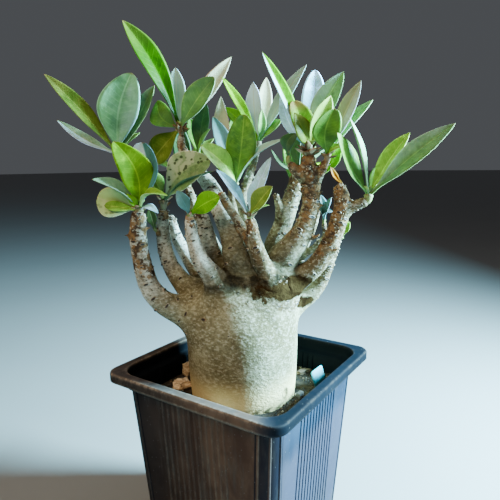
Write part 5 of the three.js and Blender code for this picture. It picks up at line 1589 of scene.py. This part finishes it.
# A bark flake with eased corners, or a rounder stone, with an uneven surface
def chipMesh(name, spec, angular):
    shape = bmesh.new()
    if angular:
        bmesh.ops.create_cube(shape, size=1)
        bmesh.ops.subdivide_edges(shape, edges=shape.edges[:], cuts=9, use_grid_fill=True)
    else:
        bmesh.ops.create_icosphere(shape, subdivisions=4, radius=0.5)
    points = np.array([v.co for v in shape.verts])
    x, y, z = points.T
    if angular:
        points = points * 0.86 + unit(points) * 0.62 * 0.14
    ax, ay = spec["at"]
    rough = 1 + 0.14 * np.sin(9 * x + 5 * y + ax) + 0.1 * np.cos(7 * z - 6 * y + ay)
    fine = (0.035 * np.sin(23 * x + 11 * y + ay) + 0.03 * np.sin(31 * y - 17 * z + ax)
            + 0.02 * np.sin(47 * x + 29 * z))
    upright = 1 - 0.5 * np.abs(x) if angular else rough
    scale = np.column_stack([rough + fine, rough + fine, upright + fine * 1.5])
    points = turnedZ(points * scale * np.array(spec["size"]), math.radians(spec["turn"]))
    middle = soilLevel + spec["size"][2] * (0.5 - soilLook["chipSink"])
    for v, p in zip(shape.verts, toScene(points + (ax, ay, middle))):
        v.co = p
    mesh = meshOf(shape, name)
    mesh.shade_smooth()
    setValues(mesh, "paintedShade", np.full(len(points), spec.get("paintedShade", 0.0)))
    return mesh


def chipFinish():
    f = Finish("Bark chip")
    layers = f.noise(2.2, 4, 0.65, (1, 1, 4))
    shade = f.mix(f.band(layers, 0.38, 0.62), (0.52, 0.33, 0.18), (0.85, 0.65, 0.45))
    shade = f.mix(f.patches(0.57, 0.66, 1.4, 3, 0.6, shift=3.0, most=0.7), shade, (0.16, 0.08, 0.04))
    # darker where the chip lies in shadow: painted shade
    shade = f.mix(f.times(f.stored("paintedShade"), 0.93), shade, (0.05, 0.028, 0.017))
    return f.set(Base_Color=shade, Roughness=0.85, Normal=f.bump(layers, 0.5, 0.9))


def stoneFinish():
    f = Finish("Stone")
    shade = f.mix(f.patches(0.38, 0.62, 4, 4, 0.6), (0.42, 0.41, 0.38), (0.62, 0.61, 0.57))
    shade = f.mix(f.band(f.cells(1.1), 0.3, 0.16, 0, 0.6), shade, (0.2, 0.19, 0.17))
    # darker where the stone lies in shadow: painted shade
    shade = f.mix(f.times(f.stored("paintedShade"), 0.9), shade, (0.03, 0.04, 0.05))
    return f.set(Base_Color=shade, Roughness=0.8, Normal=f.bump(f.noise(0.8, 4, 0.7), 0.25, 0.8))


soil = makeObject("Soil", soilBody())
grit = makeObject("Soil_grit", soil.data.copy())
lump = makeObject("Lump", lumpMesh("Lump", 3, 0.8))
grit.data = runTree(grit, gritTree(), {
    "Spacing": soilLook["spacing"] / perMetre, "Smallest": soilLook["small"],
    "Largest": soilLook["large"], "Seed": soilLook["seed"], "Lump": lump, "Crumb": crumbFinish()})
bpy.data.objects.remove(lump)
soil.data.materials.append(soilFinish())
finishPiece(soil, "soil")
finishPiece(grit, None)
chipSkin, stoneSkin = chipFinish(), stoneFinish()
for node, spec in chips.items():
    angular = node.startswith("bark")
    made = makeObject(node.capitalize(), chipMesh(node, spec, angular))
    made.data.materials.append(chipSkin if angular else stoneSkin)
    finishPiece(made, node)
print("soil", len(soil.data.polygons), "faces; grit", len(grit.data.polygons))


# Plant label: a bare plastic tag pushed into the soil

labelShape = dict(width=11, height=26, thick=0.8, place=(53, 4, 108.6), tilt=8, lean=-15, turn=39,
                  corner=1.6, ease=0.18, darkBelow=(0.1225, 0.1155))


def labelMesh():
    s = labelShape
    rings = []
    for inset, depth in ((s["ease"], -s["thick"] / 2), (0, -s["thick"] / 2 + s["ease"]),
                         (0, s["thick"] / 2 - s["ease"]), (s["ease"], s["thick"] / 2)):
        outline = []
        for cx, cz, first in ((1, 1, 0), (-1, 1, 90), (-1, -1, 180), (1, -1, 270)):
            for i in range(7):
                a = math.radians(first + 15 * i)
                r = s["corner"] - inset
                outline.append((cx * (s["width"] / 2 - s["corner"]) + r * math.cos(a), depth,
                                cz * (s["height"] / 2 - s["corner"]) + r * math.sin(a)))
        rings.append(outline[::-1])
    turned = (Matrix.Rotation(math.radians(s["turn"]), 4, "Z")
              @ Matrix.Rotation(math.radians(s["lean"]), 4, "Y")
              @ Matrix.Rotation(math.radians(-s["tilt"]), 4, "X"))
    points = np.array([turned @ Vector(p) for ring in rings for p in ring]) + np.array(s["place"])
    return meshFrom("Plant label", toScene(points), loftFaces(len(rings), len(rings[0])))


def labelFinish():
    f = Finish("Label plastic")
    shade = f.mix(f.patches(0.35, 0.65, 5, 3), (0.003, 0.25, 0.31), (0.01, 0.33, 0.4))
    # darker towards the bottom, with a ragged edge
    darkBelow = f.plus(f.height(), f.times(f.noise(7, 3, 0.6, shift=2.0), 0.008))
    shade = f.mix(f.band(darkBelow, *labelShape["darkBelow"], 0, 0.92), shade, (0.006, 0.05, 0.062))
    return f.set(Base_Color=shade, Roughness=0.5, Normal=f.bump(f.noise(2, 3), 0.05, 0.5),
                 Specular_IOR_Level=0.2)


label = makeObject("Plant_label", labelMesh())
label.data.materials.append(labelFinish())
finishPiece(label, "plant_label")


# Stage: a pale floor, a plain sky and soft studio lights

stageLook = dict(floorHalf=20, floor=(0.25, 0.243, 0.235), floorRoughness=0.8,
                 sky=(0.62, 0.66, 0.72, 1), skyStrength=0.12)
lights = {
    "key": dict(at=(515, 10, 385), size=190, power=76, colour=(0.45, 1.0, 1.28), aim=(0, 0, 205)),
    "front": dict(at=(-280, -470, 640), size=420, power=3.3, colour=(1.0, 0.8, 0.5), aim=(0, 0, 190)),
    "rim": dict(at=(490, -190, 430), size=110, power=1.5, colour=(0.6, 0.9, 1.1), aim=(-40, 0, 230)),
    "top": dict(at=(-40, 60, 800), size=500, power=2.0, colour=(0.9, 0.97, 1.0), aim=(0, 0, 180)),
}


def floorFinish():
    f, colour = Finish("Floor"), stageLook["floor"]
    shade = f.mix(f.patches(0.3, 0.7, 120, 2), colour, tuple(c * 0.97 for c in colour))
    return f.set(Base_Color=shade, Roughness=stageLook["floorRoughness"])


def placeLight(name, spec):
    data = bpy.data.lights.new(name, "AREA")
    data.shape, data.size = "DISK", spec["size"] / perMetre
    data.energy, data.color = spec["power"], spec["colour"]
    lamp = makeObject(name, data)
    lamp.location = toScene(spec["at"])
    aim = Vector(toScene(spec["aim"])) - lamp.location
    lamp.rotation_mode = "QUATERNION"
    lamp.rotation_quaternion = aim.to_track_quat("-Z", "Y")


corners = [(x * stageLook["floorHalf"], y * stageLook["floorHalf"], 0)
           for x, y in ((-1, -1), (1, -1), (1, 1), (-1, 1))]
floor = makeObject("Floor", meshFrom("Floor", corners, [(0, 1, 2, 3)]))
floor.data.materials.append(floorFinish())
world = bpy.data.worlds.new("Studio")
bpy.context.scene.world = world
world.use_nodes = True
sky = world.node_tree.nodes["Background"]
sky.inputs["Color"].default_value = stageLook["sky"]
sky.inputs["Strength"].default_value = stageLook["skyStrength"]
for name, spec in lights.items():
    placeLight(name.capitalize() + " light", spec)


# Camera, as the photo was taken, in metres and degrees

shot = dict(at=(0.17462, -0.25336, 0.25905), azimuth=33.71, down=9.97, roll=-0.603, lens=34.56,
            sensor=36.0, nearest=0.01, furthest=60)


def placeCamera():
    data = bpy.data.cameras.new("Camera")
    data.sensor_width, data.lens = shot["sensor"], shot["lens"]
    data.clip_start, data.clip_end = shot["nearest"], shot["furthest"]
    camera = makeObject("Camera", data)
    a, e, r = [math.radians(shot[k]) for k in ("azimuth", "down", "roll")]
    back = Vector((math.sin(a) * math.cos(e), -math.cos(a) * math.cos(e), math.sin(e)))
    right = (-back).cross(Vector((0, 0, 1))).normalized()
    up = right.cross(-back).normalized()
    right, up = math.cos(r) * right + math.sin(r) * up, math.cos(r) * up - math.sin(r) * right
    rows = [(right[i], up[i], back[i], shot["at"][i]) for i in range(3)]
    camera.matrix_world = Matrix((*rows, (0, 0, 0, 1)))
    bpy.context.scene.camera = camera


placeCamera()
bpy.context.view_layer.update()
